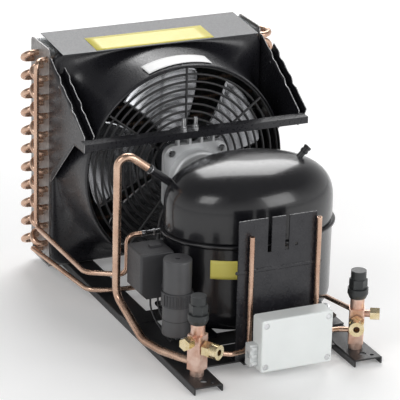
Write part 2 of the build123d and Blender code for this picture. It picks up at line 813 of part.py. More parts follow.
with BuildPart() as round_bowl:
    add(bowl_profile(0).sketch)
    revolve(axis=Axis.Z)
    with BuildSketch(Plane.XY.offset(seam_height - seam_thickness)):
        Circle(shell_half_length + seam_lip)
    extrude(amount=seam_thickness)
with BuildPart() as round_bowl_hollow:
    add(bowl_profile(shell_wall).sketch)
    revolve(axis=Axis.Z)
bowl = shell_solid(round_bowl)
bowl_hollow = shell_solid(round_bowl_hollow)
with BuildPart() as shell_lower:
    add(bowl.part)
    add(bowl_hollow.part, mode=Mode.SUBTRACT)
    add(stub_holes.part, mode=Mode.SUBTRACT)
save(shell_lower, "shell_lower")

with BuildPart() as round_dome:
    add(dome_profile(0).sketch)
    revolve(axis=Axis.Z)
with BuildPart() as round_dome_hollow:
    add(dome_profile(shell_wall).sketch)
    revolve(axis=Axis.Z)
dome = shell_solid(round_dome)
dome_hollow = shell_solid(round_dome_hollow)
with BuildPart() as shell_upper:
    add(dome.part)
    add(dome_hollow.part, mode=Mode.SUBTRACT)
    add(stub_holes.part, mode=Mode.SUBTRACT)
save(shell_upper, "shell_upper")

# ---------------------------------------------------------------- feet
foot_plate_inset = 6.0       # of each plate's middle from its bolts, towards the shell
foot_plate_corner = 6.0
grommet_neck_radius = 6.0
grommet_lip_radius = 9.0
grommet_lip_height = 2.5
with BuildPart() as foot_plates:
    with BuildSketch(Plane.XY.offset(foot_plate_z)):
        for sign in (-1, 1):
            with Locations((compressor_x + sign * (foot_spacing_x / 2 - foot_plate_inset), compressor_y)):
                RectangleRounded(foot_plate_width, foot_plate_length, foot_plate_corner)
        with Locations((compressor_x, compressor_y)):
            Rectangle(foot_spacing_x - foot_plate_width, foot_plate_width)
        with Locations(*foot_places):
            Circle(grommet_neck_radius + joint_gap, mode=Mode.SUBTRACT)
    extrude(amount=steel_sheet)
save(foot_plates, "foot_plates")

grommet_top = foot_plate_z + steel_sheet + grommet_lip_height
with BuildPart() as rubber_grommets:
    for x, y in foot_places:
        for low, high, radius in (
            (member_top, foot_plate_z, grommet_radius),
            (foot_plate_z, foot_plate_z + steel_sheet + joint_gap, grommet_neck_radius),
            (foot_plate_z + steel_sheet + joint_gap, grommet_top, grommet_lip_radius),
        ):
            with BuildSketch(Plane.XY.offset(low)):
                with Locations((x, y)):
                    Circle(radius)
            extrude(amount=high - low)
    with BuildSketch(Plane.XY.offset(member_top)):
        with Locations(*foot_places):
            Circle(foot_bolt_radius + joint_gap)
    extrude(amount=grommet_top - member_top, mode=Mode.SUBTRACT)
save(rubber_grommets, "rubber_grommets")

foot_washer_radius = 8.0
foot_nut_radius = 7.4
foot_nut_height = 5.0
foot_washer = 1.5
foot_bolt_beyond = 9.0       # over the grommets
with BuildPart() as foot_bolts:
    for x, y in foot_places:
        seat = web_under if abs(x) > rail_inner else rail_top
        for low, high, radius in (
            (seat - foot_nut_height, grommet_top + foot_bolt_beyond, foot_bolt_radius),
            (grommet_top + joint_gap, grommet_top + joint_gap + foot_washer, foot_washer_radius),
        ):
            with BuildSketch(Plane.XY.offset(low)):
                with Locations((x, y)):
                    Circle(radius)
            extrude(amount=high - low)
        for low in (seat - foot_nut_height - joint_gap, grommet_top + joint_gap + foot_washer):
            with BuildSketch(Plane.XY.offset(low)):
                with Locations((x, y)):
                    RegularPolygon(foot_nut_radius, 6)
            extrude(amount=foot_nut_height)
save(foot_bolts, "foot_bolts")

# ---------------------------------------------------------------- inside the compressor
crank_axis = (compressor_x, compressor_y)


def ring_solid(low, high, outer, inner=0.0, centre=crank_axis):
    """Upright round bar or ring between two heights."""
    with BuildPart() as ring:
        with BuildSketch(Plane.XY.offset(low)):
            with Locations(centre):
                Circle(outer)
                if inner > 0:
                    Circle(inner, mode=Mode.SUBTRACT)
        extrude(amount=high - low)
    return ring


stator_top = stator_bottom + stator_height
winding_outer = 46.0
winding_inner = 35.0
winding_low_height = 12.0
winding_high_height = 9.0
save(ring_solid(stator_bottom, stator_top, stator_radius, rotor_radius + air_gap), "stator")
with BuildPart() as windings:
    add(ring_solid(stator_bottom - winding_low_height, stator_bottom, winding_outer, winding_inner).part)
    add(ring_solid(stator_top, stator_top + winding_high_height, winding_outer, winding_inner).part)
save(windings, "windings")
save(ring_solid(stator_bottom, stator_top, rotor_radius, crank_radius + running_gap / 2), "rotor")

block_low = stator_top + 4.0     # the pump's block stands clear of the stator
block_bore_top = 149.0
thrust_gap = 1.0             # between faces that turn on each other
web_height = 5.0
rod_width = 10.0
web_radius = 18.0
crank_beyond = 8.0           # shaft below the stator
pin_beyond = 2.0             # crank pin above the rod
web_low = block_bore_top + thrust_gap
pin_low = web_low + web_height
rod_low = pin_low + thrust_gap
rod_high = rod_low + rod_width
pin_centre = (compressor_x + crank_throw, compressor_y)
with BuildPart() as crankshaft:
    add(ring_solid(stator_bottom - crank_beyond, web_low, crank_radius).part)
    add(ring_solid(web_low, pin_low, web_radius).part)
    add(ring_solid(pin_low, rod_high + pin_beyond, crank_pin_radius, centre=pin_centre).part)
save(crankshaft, "crankshaft")

cylinder_start = 34.0        # from the crank axis to the open end of the bore
cylinder_length = 38.0
head_depth = 12.0
bearing_radius = 20.0
deck_size = (118.0, 88.0, 14.0)      # length, width and corner of the block's plate
deck_rise = 11.0
deck_thickness = 10.0
cylinder_width = 44.0
cylinder_wall_height = 60.0
cylinder_drop = 12.0         # of the cylinder wall's middle below its bore
with BuildPart() as cylinder_block:
    add(ring_solid(block_low, block_bore_top, bearing_radius).part)
    with BuildSketch(Plane.XY.offset(block_low + deck_rise)):
        with Locations(crank_axis):
            RectangleRounded(*deck_size)
    extrude(amount=deck_thickness)
    with BuildSketch(Plane.YZ.offset(compressor_x - cylinder_start - cylinder_length)):
        with Locations((compressor_y, cylinder_height - cylinder_drop)):
            Rectangle(cylinder_width, cylinder_wall_height)
    extrude(amount=cylinder_length)
    with BuildSketch(Plane.YZ.offset(compressor_x - cylinder_start - cylinder_length)):
        with Locations((compressor_y, cylinder_height)):
            Circle(piston_radius + running_gap)
    extrude(amount=cylinder_length, mode=Mode.SUBTRACT)
    with BuildSketch(Plane.XY.offset(block_low)):
        with Locations(crank_axis):
            Circle(crank_radius + running_gap)
    extrude(amount=block_bore_top - block_low, mode=Mode.SUBTRACT)
save(cylinder_block, "cylinder_block")

head_size = (40.0, 36.0, 5.0)
with BuildPart() as cylinder_head:
    head_face = compressor_x - cylinder_start - cylinder_length - joint_gap
    with BuildSketch(Plane.YZ.offset(head_face - head_depth)):
        with Locations((compressor_y, cylinder_height)):
            RectangleRounded(*head_size)
    extrude(amount=head_depth)
save(cylinder_head, "cylinder_head")

piston_crown = compressor_x - 62.0
piston_wall = 2.6
piston_head = 3.4
with BuildPart() as piston:
    with BuildSketch(Plane.YZ.offset(piston_crown)):
        with Locations((compressor_y, cylinder_height)):
            Circle(piston_radius)
    extrude(amount=piston_length)
    with BuildSketch(Plane.YZ.offset(piston_crown + piston_head)):
        with Locations((compressor_y, cylinder_height)):
            Circle(piston_radius - piston_wall)
    extrude(amount=piston_length, mode=Mode.SUBTRACT)
save(piston, "piston")

big_end_radius = 11.0
small_end_radius = 3.8
shank_size = 6.0
small_end = (pin_centre[0] - rod_length, compressor_y)
shank_start = small_end[0] + shank_size / 2
with BuildPart() as connecting_rod:
    add(ring_solid(rod_low, rod_high, big_end_radius, centre=pin_centre).part)
    add(ring_solid(cylinder_height - rod_width / 2, cylinder_height + rod_width / 2, small_end_radius,
                   centre=small_end).part)
    with BuildSketch(Plane.XY.offset(cylinder_height - shank_size / 2)):
        with Locations(((shank_start + pin_centre[0]) / 2, compressor_y)):
            Rectangle(pin_centre[0] - shank_start, shank_size)
    extrude(amount=shank_size)
    add(ring_solid(rod_low, cylinder_height + shank_size / 2, crank_pin_radius + running_gap,
                   centre=pin_centre).part, mode=Mode.SUBTRACT)
save(connecting_rod, "connecting_rod")

spring_wire = 1.6
spring_radius = 4.2
spring_seat_x = 42.0
spring_seat_y = 31.0
spring_turns = 4
spring_low = shell_bottom + shell_wall + spring_wire / 2 + joint_gap
spring_high = stator_bottom - spring_wire / 2 - joint_gap
spring_height = spring_high - spring_low
with BuildPart() as one_spring:
    with BuildLine() as coil:
        Helix(pitch=spring_height / spring_turns, height=spring_height, radius=spring_radius)
    with BuildSketch(Plane(origin=coil.wire() @ 0, z_dir=coil.wire() % 0)):
        Circle(spring_wire / 2)
    sweep(path=coil.wire(), is_frenet=True)
with BuildPart() as suspension_springs:
    with Locations(*[
        (compressor_x + sx * spring_seat_x, compressor_y + sy * spring_seat_y, spring_low)
        for sx in (-1, 1) for sy in (-1, 1)
    ]):
        add(one_spring.part)
save(suspension_springs, "suspension_springs")

# ---------------------------------------------------------------- service valves
valve_base = rail_top + joint_gap
block_low_z = valve_base + valve_foot_height
block_high_z = valve_base + valve_block_height
port_z = valve_base + front_port_height
tap_z = valve_base + tap_height
neck_top = valve_base + valve_height
valve_places = {"left": (-rail_gauge / 2, valve_left_turn), "right": (rail_gauge / 2, valve_right_turn)}
side_quarter = {"left": 3, "right": 1}       # the blanked port faces outwards on both valves
tap_quarter = {"left": 1, "right": 3}        # the gauge port faces inwards


def port_direction(name, quarter):
    """Unit vector out of one face of a turned valve block; quarter 0 is the front port."""
    angle = radians(valve_places[name][1] - 90 + 90 * quarter)
    return Vector(cos(angle), sin(angle), 0)


def port_point(name, quarter, height, distance):
    """A point on the axis of one port, at a distance from the stem."""
    stem_x = valve_places[name][0]
    return Vector(stem_x, valve_y, height) + port_direction(name, quarter) * distance


def port_sleeve(name, quarter, height, near, far, radius):
    """Round bar along one port's axis, between two distances from the stem."""
    start = port_point(name, quarter, height, near)
    end = port_point(name, quarter, height, far)
    return cylinder_between(tuple(start), tuple(end), radius)


port_length = 9.0            # neck of the front port beyond the block's face
port_shoulder = 2.0          # bare neck between the block and the flare nut
port_radius = 6.2
port_bore = 3.4
side_port_length = 13.5
side_port_shoulder = 6.5
side_port_radius = 4.4
side_port_bore = 2.0
passage_start = 5.5          # the side passages stop this far from the stem's axis
port_overcut = 1.0
half_block = valve_block / 2
block_corner = 2.0
stem_floor = 6.0             # solid metal under the stem's bore


def valve(name, line_radius):
    """Forged service valve: foot, turned block, neck, two flare ports and two brazed ports."""
    stem_x, turn = valve_places[name]
    ports = (
        (0, port_z, port_length, port_radius, port_bore),
        (side_quarter[name], valve_base + side_port_heights[name], side_port_length, side_port_radius,
         side_port_bore),
        (2, valve_base + line_port_heights[name], 0, 0, line_radius + joint_gap),
        (tap_quarter[name], tap_z, 0, 0, line_outer / 2 + joint_gap),
    )
    with BuildPart() as body:
        with BuildSketch(Plane.XY.offset(valve_base)):
            with Locations((stem_x, valve_y)):
                Circle(valve_foot_radius)
        extrude(amount=valve_foot_height)
        with BuildSketch(Plane.XY.offset(block_low_z)):
            with Locations(Location((stem_x, valve_y, 0), (0, 0, turn))):
                RectangleRounded(valve_block, valve_block, block_corner)
        extrude(amount=block_high_z - block_low_z)
        with BuildSketch(Plane.XY.offset(block_high_z)):
            with Locations((stem_x, valve_y)):
                Circle(valve_neck_radius)
        extrude(amount=neck_top - block_high_z)
        for quarter, height, length, radius, bore in ports:
            if radius > 0:
                add(port_sleeve(name, quarter, height, half_block / 2, half_block + length, radius).part)
        for quarter, height, length, radius, bore in ports:
            far = half_block + length + port_overcut
            add(port_sleeve(name, quarter, height, passage_start, far, bore).part, mode=Mode.SUBTRACT)
        add(ring_solid(block_low_z + stem_floor, neck_top, spindle_radius + running_gap,
                       centre=(stem_x, valve_y)).part, mode=Mode.SUBTRACT)
    return body


with BuildPart() as valve_bodies:
    add(valve("left", suction_outer / 2).part)
    add(valve("right", line_outer / 2).part)
save(valve_bodies, "valve_bodies")

spindle_clearance = 1.0      # under the spindle's end
square_size = 4.6            # of the key square on the stem
square_length = 12.0
square_root = 4.0            # the square starts this far below the neck's top
cap_wall = 3.2
cap_room_radius = 6.0        # inside the cap, round the key square
for name, (stem_x, turn) in valve_places.items():
    stem_centre = (stem_x, valve_y)
    cap_low = neck_top - cap_overlap
    collar_top = cap_low + cap_collar_height
    hex_top = collar_top + cap_hex_height
    cap_top = cap_low + cap_height
    with BuildPart() as spindle:
        add(ring_solid(block_low_z + stem_floor + spindle_clearance, neck_top - square_root, spindle_radius,
                       centre=stem_centre).part)
        with BuildSketch(Plane.XY.offset(neck_top - square_root)):
            with Locations(stem_centre):
                Rectangle(square_size, square_size)
        extrude(amount=square_length)
    save(spindle, f"valve_spindle_{name}")
    with BuildPart() as stem_cap:
        with Locations((stem_x, valve_y, cap_low)):
            Cone(valve_neck_radius + cap_wall / 2, cap_collar_radius, cap_taper,
                 align=(Align.CENTER, Align.CENTER, Align.MIN))
        add(ring_solid(cap_low + cap_taper, collar_top, cap_collar_radius, centre=stem_centre).part)
        with BuildSketch(Plane.XY.offset(collar_top)):
            with Locations(Location((stem_x, valve_y, 0), (0, 0, turn))):
                RegularPolygon(cap_hex_radius, 6)
        extrude(amount=cap_hex_height)
        add(ring_solid(hex_top, cap_top, cap_top_radius, centre=stem_centre).part)
        add(ring_solid(cap_low, neck_top + joint_gap, valve_neck_radius + loose_gap, centre=stem_centre).part,
            mode=Mode.SUBTRACT)
        add(ring_solid(neck_top, cap_top - cap_wall, cap_room_radius, centre=stem_centre).part,
            mode=Mode.SUBTRACT)
    save(stem_cap, f"valve_cap_{name}")

flare_bore = 4.0
nut_radius = 10.2            # across the corners of each flare nut
nut_length = 10.0
nut_nose_radius = 9.2
nut_nose_length = 10.0
with BuildPart() as flare_nuts:
    for name in valve_places:
        axis = port_direction(name, 0)
        start = port_point(name, 0, port_z, half_block + port_shoulder)
        with BuildSketch(Plane(origin=start, x_dir=(0, 0, 1), z_dir=axis)):
            RegularPolygon(nut_radius, 6)
            Circle(port_radius + joint_gap, mode=Mode.SUBTRACT)
        extrude(amount=nut_length)
        with BuildSketch(Plane(origin=start + axis * nut_length, x_dir=(0, 0, 1), z_dir=axis)):
            Circle(nut_nose_radius)
            Circle(flare_bore, mode=Mode.SUBTRACT)
        extrude(amount=nut_nose_length)
save(flare_nuts, "flare_nuts")

cap_radius = 8.0             # across the corners of each blanking cap
cap_end = 4.5
for name in valve_places:
    quarter = side_quarter[name]
    height = valve_base + side_port_heights[name]
    axis = port_direction(name, quarter)
    start = port_point(name, quarter, height, half_block + side_port_shoulder)
    socket_length = side_port_length - side_port_shoulder + joint_gap
    with BuildPart() as flare_cap:
        with BuildSketch(Plane(origin=start, x_dir=(0, 0, 1), z_dir=axis)):
            RegularPolygon(cap_radius, 6)
            Circle(side_port_radius + running_gap, mode=Mode.SUBTRACT)
        extrude(amount=socket_length)
        with BuildSketch(Plane(origin=start + axis * socket_length, x_dir=(0, 0, 1), z_dir=axis)):
            RegularPolygon(cap_radius, 6)
        extrude(amount=cap_end)
    save(flare_cap, f"flare_cap_{name}")

# ---------------------------------------------------------------- refrigerant lines
pipe_entry = 6.5             # each pipe ends this far from its valve's stem
left_line_z = valve_base + line_port_heights["left"]
suction_reach = 26.0         # straight run out of the stub before the pipe turns down
suction_port = port_point("left", 2, left_line_z, pipe_entry)
suction_lead = port_point("left", 2, left_line_z, half_block + 14)
suction_axis = (Vector(*suction_start) - Vector(*suction_inner)).normalized()
suction_turn = Vector(*suction_start) + suction_axis * suction_reach
suction_pipe = swept_tube(
    [
        suction_start,
        tuple(suction_turn),
        (-144.25, -39.5, suction_turn.Z),
        (-144.25, -39.5, 55.0),
        (-133.75, -99.5, 17.5),
        (-127.25, -138.5, 19.0),
        tuple(suction_lead),
        tuple(suction_port),
    ],
    [18, 12, 22, 28, 30, 12],
    suction_outer,
    suction_bore,
)
save(suction_pipe, "suction_pipe")

inlet = (core_x0 - tube_stub, row_y[0], row_height(0, top_tube))
discharge_x = -side_reach + line_outer / 2
discharge_pipe = swept_tube(
    [
        inlet,
        (inlet[0] - 7, inlet[1], inlet[2]),
        (discharge_x, 166.5, inlet[2] - 1),
        (discharge_x, 166.5, 71.0),
        (-169.25, 1.5, 72.0),
        (-127.75, discharge_start[1], 76.0),
        (-127.75, discharge_start[1], discharge_start[2]),
        discharge_start,
    ],
    [5, 8, 12, 20, 12, 10],
    line_outer,
    line_bore,
)
save(discharge_pipe, "discharge_pipe")

outlet = (core_x0 - tube_stub, row_y[1], row_height(1, 0))
right_line_z = valve_base + line_port_heights["right"]
liquid_port = port_point("right", 2, right_line_z, pipe_entry)
liquid_lead = port_point("right", 2, right_line_z, half_block + 10)
liquid_pipe = swept_tube(
    [
        outlet,
        (outlet[0] - 9, outlet[1], outlet[2]),
        (-169.5, 181.0, 35.0),
        (-141.0, 62.5, 20.0),
        (-111.75, 48.0, 20.0),
        (127.5, 36.0, 20.0),
        (128.0, -56.5, 20.5),
        tuple(liquid_lead),
        tuple(liquid_port),
    ],
    [5, 5, 16, 30, 18, 60, 14],
    line_outer,
    line_bore,
)
save(liquid_pipe, "liquid_pipe")

tap_left = port_point("left", 1, tap_z, pipe_entry)
tap_left_lead = port_point("left", 1, tap_z, half_block + 9)
tap_right = port_point("right", 3, tap_z, pipe_entry)
tap_right_lead = port_point("right", 3, tap_z, half_block + 12)
gauge_y = plate_y - 5.0
gauge_left = (-33.25, 170.0)     # x and top of each gauge tube
gauge_right = (54.75, 183.0)
gauge_tubes = [
    swept_tube(
        [tuple(tap_left), tuple(tap_left_lead), (-60.0, -193.0, 26.0), (gauge_left[0], gauge_y, 24.0),
         (gauge_left[0], gauge_y, gauge_left[1])],
        [10, 12, 10], line_outer, line_bore,
    ),
    swept_tube(
        [tuple(tap_right), tuple(tap_right_lead), (gauge_right[0], gauge_y, tap_z),
         (gauge_right[0], gauge_y, gauge_right[1])],
        [12, 10], line_outer, line_bore,
    ),
]
with BuildPart() as both_gauge_tubes:
    for tap in gauge_tubes:
        add(tap.part)
save(both_gauge_tubes, "gauge_tubes")

# ---------------------------------------------------------------- control bracket and junction box
bracket_sheet = 1.8
bracket_foot = 20.0
bracket_hole = (76.0, 151.0, 2.2)    # x from its left edge, height and radius
with BuildPart() as control_bracket:
    with BuildSketch(Plane.XZ.offset(-plate_y - bracket_sheet)):
        with Locations((plate_x + plate_width / 2, (rail_top + joint_gap + plate_top) / 2)):
            Rectangle(plate_width, plate_top - rail_top - joint_gap)
        for offset in slot_offsets:
            with Locations((plate_x + offset + slot_width / 2, plate_top - slot_depth / 2)):
                Rectangle(slot_width, slot_depth, mode=Mode.SUBTRACT)
        with Locations((plate_x + bracket_hole[0], bracket_hole[1])):
            Circle(bracket_hole[2], mode=Mode.SUBTRACT)
    extrude(amount=bracket_sheet)
    with BuildSketch(Plane.XY.offset(rail_top + joint_gap)):
        with Locations((plate_x + plate_width / 2, plate_y + bracket_foot / 2)):
            Rectangle(plate_width, bracket_foot)
    extrude(amount=bracket_sheet)
save(control_bracket, "control_bracket")

box_back = box_y + box_depth
box_front = box_y + lid_depth
box_middle = (box_x + box_width / 2, box_bottom + box_height / 2)
lid_screw_inset = (6.0, 7.0)
lid_screw_places = [
    (box_middle[0] + sx * (box_width / 2 - lid_screw_inset[0]),
     box_middle[1] + sz * (box_height / 2 - lid_screw_inset[1]))
    for sx in (-1, 1) for sz in (-1, 1)
]
standoff_spacing = 40.0
standoff_height = 50.0
standoff_radius = 4.0
box_corner = 3.0
lid_edge = 2.0
boss_radius = 4.0            # of the posts that take the lid's screws
pilot_radius = 1.7
pilot_depth = 12.0
lid_hole_radius = 1.9
lid_recess_radius = 3.8
lid_recess = 2.5
lid_screw_radius = 1.6
lid_screw_reach = 10.0
lid_head_radius = 3.5
lid_head_height = 2.0
gland_width = 10.0
gland_depth = 13.0
gland_height = 28.0
gland_corner = 2.0
gland_x = box_x - gland_width
gland_z = 30.0
gland_bore = 4.5
with BuildPart() as junction_box:
    with BuildSketch(Plane.XZ.offset(-box_back)):
        with Locations(box_middle):
            RectangleRounded(box_width, box_height, box_corner)
    extrude(amount=box_depth - lid_depth - joint_gap)
    with BuildSketch(Plane.XZ.offset(-box_back + box_wall)):
        with Locations(box_middle):
            Rectangle(box_width - 2 * box_wall, box_height - 2 * box_wall)
    extrude(amount=box_depth, mode=Mode.SUBTRACT)
    with BuildSketch(Plane.XZ.offset(-box_back)):
        with Locations(*lid_screw_places):
            Circle(boss_radius)
    extrude(amount=box_depth - lid_depth - joint_gap)
    with BuildSketch(Plane.XZ.offset(-box_front - pilot_depth)):
        with Locations(*lid_screw_places):
            Circle(pilot_radius)
    extrude(amount=pilot_depth, mode=Mode.SUBTRACT)
    with BuildSketch(Plane.XZ.offset(-plate_y + joint_gap)):
        with Locations(*[(box_middle[0] + sign * standoff_spacing / 2, standoff_height) for sign in (-1, 1)]):
            Circle(standoff_radius)
    extrude(amount=plate_y - joint_gap - box_back)
    with BuildSketch(Plane.YZ.offset(box_x)):
        with Locations(((box_back + box_front) / 2, gland_z)):
            Circle(gland_bore)
    extrude(amount=box_wall, mode=Mode.SUBTRACT)
save(junction_box, "junction_box")

with BuildPart() as junction_lid:
    with BuildSketch(Plane.XZ.offset(-box_front)):
        with Locations(box_middle):
            RectangleRounded(box_width, box_height, box_corner)
    extrude(amount=lid_depth)
    fillet(junction_lid.faces().sort_by(Axis.Y)[0].edges(), lid_edge)
    with BuildSketch(Plane.XZ.offset(-box_front)):
        with Locations(box_middle):
            Rectangle(box_width - 4 * box_wall - 2 * lid_screw_inset[0], box_height - 2 * box_wall)
    extrude(amount=lid_depth - box_wall, mode=Mode.SUBTRACT)
    with BuildSketch(Plane.XZ.offset(-box_front)):
        with Locations(*lid_screw_places):
            Circle(lid_hole_radius)
    extrude(amount=lid_depth, mode=Mode.SUBTRACT)
    with BuildSketch(Plane.XZ.offset(-box_y - lid_recess)):
        with Locations(*lid_screw_places):
            Circle(lid_recess_radius)
    extrude(amount=lid_recess, mode=Mode.SUBTRACT)
save(junction_lid, "junction_lid")

with BuildPart() as lid_screws:
    with BuildSketch(Plane.XZ.offset(-box_front - lid_screw_reach)):
        with Locations(*lid_screw_places):
            Circle(lid_screw_radius)
    extrude(amount=lid_screw_reach + lid_depth - lid_recess + joint_gap)
    with BuildSketch(Plane.XZ.offset(-box_y - lid_recess + joint_gap)):
        with Locations(*lid_screw_places):
            Circle(lid_head_radius)
    extrude(amount=lid_head_height)
save(lid_screws, "lid_screws")

with BuildPart() as cable_entry:
    with BuildSketch(Plane.YZ.offset(gland_x)):
        with Locations(((box_back + box_front) / 2, gland_z)):
            RectangleRounded(gland_depth, gland_height, gland_corner)
    extrude(amount=gland_width - joint_gap)
    with BuildSketch(Plane.YZ.offset(gland_x)):
        with Locations(((box_back + box_front) / 2, gland_z)):
            Circle(gland_bore)
    extrude(amount=gland_width, mode=Mode.SUBTRACT)
save(cable_entry, "cable_entry")

# ---------------------------------------------------------------- starting gear
starter_middle = (starter_x + starter_length / 2, starter_y + starter_width / 2)
starter_top = starter_bottom + starter_height
starter_wall = 2.0
starter_floor = 10.0
starter_chamfer = 8.0
starter_corner = 3.0
spigot_width = 30.0          # of the socket that plugs onto the shell's terminals
spigot_low = 11.0            # above the box's bottom
spigot_high = 45.0
clamp_low = 70.0
clamp_high = 88.0
clamp_wall = 1.6
clamp_web = 16.0
clamp_web_inset = 2.0        # the web is this much lower than the clamp at each edge
clamp_outer = capacitor_radius + joint_gap + clamp_wall
web_reach = starter_y - capacitor_y - capacitor_radius - clamp_wall / 2
with BuildPart() as starter_box:
    with BuildSketch(Plane.XZ.offset(-starter_y - starter_width)) as side_view:
        with Locations((starter_middle[0], starter_bottom + starter_height / 2)):
            Rectangle(starter_length, starter_height)
        chamfer(side_view.vertices().sort_by(Axis.Y)[:2].sort_by(Axis.X)[0], starter_chamfer)
    extrude(amount=starter_width)
    fillet(starter_box.edges().filter_by(Axis.Z), starter_corner)
    with BuildSketch(Plane.YZ.offset(starter_middle[0])):
        with Locations((starter_middle[1], starter_bottom + (spigot_low + spigot_high) / 2)):
            Rectangle(spigot_width, spigot_high - spigot_low)
    extrude(amount=compressor_x - starter_middle[0])
    add(bowl.part, mode=Mode.SUBTRACT)
    add(bowl_hollow.part, mode=Mode.SUBTRACT)
    with BuildSketch(Plane.XY.offset(starter_bottom + starter_floor)):
        with Locations(starter_middle):
            Rectangle(starter_length - 2 * starter_wall, starter_width - 2 * starter_wall)
    extrude(amount=starter_height, mode=Mode.SUBTRACT)
    with BuildSketch(Plane.XY.offset(clamp_low + clamp_web_inset)):
        with Locations((capacitor_x, starter_y - web_reach / 2)):
            Rectangle(clamp_web, web_reach)
    extrude(amount=clamp_high - clamp_low - 2 * clamp_web_inset)
    add(ring_solid(clamp_low, clamp_high, clamp_outer, centre=(capacitor_x, capacitor_y)).part)
    add(ring_solid(clamp_low, clamp_high, capacitor_radius + joint_gap,
                   centre=(capacitor_x, capacitor_y)).part, mode=Mode.SUBTRACT)
save(starter_box, "starter_box")

cover_edge = 2.5
latch_size = (15.0, 8.0, 3.0)
with BuildPart() as starter_cover:
    with BuildSketch(Plane.XY.offset(starter_top + joint_gap)):
        with Locations(starter_middle):
            RectangleRounded(starter_length, starter_width, starter_corner)
    extrude(amount=cover_height)
    fillet(starter_cover.edges().group_by(Axis.Z)[-1], cover_edge)
    with BuildSketch(Plane.XY.offset(starter_top + joint_gap)):
        with Locations(starter_middle):
            Rectangle(starter_length - 2 * starter_wall, starter_width - 2 * starter_wall)
    extrude(amount=cover_height - starter_wall, mode=Mode.SUBTRACT)
    with BuildSketch(Plane.XY.offset(starter_top + joint_gap + cover_height)):
        with Locations((starter_middle[0] + starter_corner + cover_edge, starter_middle[1])):
            Rectangle(latch_size[0], latch_size[1])
    extrude(amount=latch_size[2])
save(starter_cover, "starter_cover")

capacitor_top = capacitor_bottom + capacitor_height
capacitor_edge = 2.0
vent_depth = 4.0
vent_radius = 3.2
with BuildPart() as start_capacitor:
    add(ring_solid(capacitor_bottom, capacitor_top, capacitor_radius, centre=(capacitor_x, capacitor_y)).part)
    fillet(start_capacitor.edges().filter_by(GeomType.CIRCLE), capacitor_edge)
    add(ring_solid(capacitor_top - vent_depth, capacitor_top, vent_radius,
                   centre=(capacitor_x, capacitor_y)).part, mode=Mode.SUBTRACT)
save(start_capacitor, "start_capacitor")

# ---------------------------------------------------------------- wiring
def bend_radii(points):
    """Largest radius that each corner's two runs allow, for a cord's tangent arcs."""
    radii = []
    for before, here, after in zip(points, points[1:], points[2:]):
        first = Vector(*here) - Vector(*before)
        second = Vector(*after) - Vector(*here)
        turn = radians(first.get_angle(second))
        radii.append(0.45 * min(first.length, second.length) / tan(turn / 2))
    return radii


def cord(points, diameter, name):
    """Flexible lead along hand-chosen points; prints its bends and its volume check."""
    radii = bend_radii(points)
    lead = swept_tube(points, radii, diameter, 0)
    with BuildLine() as route:
        FilletPolyline(*points, radius=radii)
    expected = pi * diameter ** 2 / 4 * route.wire().length
    print(name, "bends", [round(r, 1) for r in radii], "length", round(route.wire().length, 1),
          "volume", round(lead.part.volume, 1), "expected", round(expected, 1))
    return lead


motor_cable_diameter = 5.0
starter_back = starter_y + starter_width
cable_x = core_x - 12
cable_z = fan_axis_height - 8
motor_cable = cord(
    [
        (cable_x, motor_front - joint_gap, cable_z),
        (cable_x, motor_front - 12, cable_z),
        (cable_x - 16, motor_front - 17, cable_z - 8),
        (-54.0, 22.0, 136.0),
        (-60.0, 25.0, 110.0),
        (-61.0, 24.0, 84.0),
        (-70.0, 20.0, 62.0),
        (-87.0, 4.0, 54.0),
        (-103.0, -12.0, 55.0),
        (-114.0, -24.0, 64.0),
        (-118.0, -34.0, 82.0),
        (-118.0, starter_back + joint_gap, 82.0),
    ],
    motor_cable_diameter,
    "motor_cable",
)

lead_diameter = 2.4
start_leads = []
for shift in (-5.0, 5.0):
    top_x = starter_middle[0] + shift
    end_x = capacitor_x + shift
    start_leads.append(cord(
        [
            (top_x, starter_y + 9, starter_bottom - joint_gap),
            (top_x, starter_y + 9, starter_bottom - 14),
            (top_x + 3, starter_y + 2, starter_bottom - 28),
            (end_x - 3, starter_y - 10, 25.0),
            (end_x, capacitor_y + 5, 19.0),
            (end_x, capacitor_y, 22.0),
            (end_x, capacitor_y, capacitor_bottom - joint_gap),
        ],
        lead_diameter,
        "start_lead",
    ))
with BuildPart() as wiring:
    add(motor_cable.part)
    for lead in start_leads:
        add(lead.part)
save(wiring, "wiring")
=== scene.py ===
# %% [markdown]
# # A small refrigeration condensing unit
#
# This unit cools a cold room or a bottle cabinet: a black hermetic compressor squeezes
# refrigerant gas, a finned coil with a fan behind a wire guard turns it back to liquid, and
# two service valves hand it on. The construction comes from CAD as a fixed frame of named
# nodes. Blender adds what CAD leaves plain: drawn sheet, round wires, curved blades, close
# fins, and the finish of every surface. Each step first says what a piece is and how it
# could be made, and then makes it.

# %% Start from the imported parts
import json
from math import cos, pi, radians, sin

import bmesh
import bpy
import numpy as np
from mathutils import Matrix, Vector


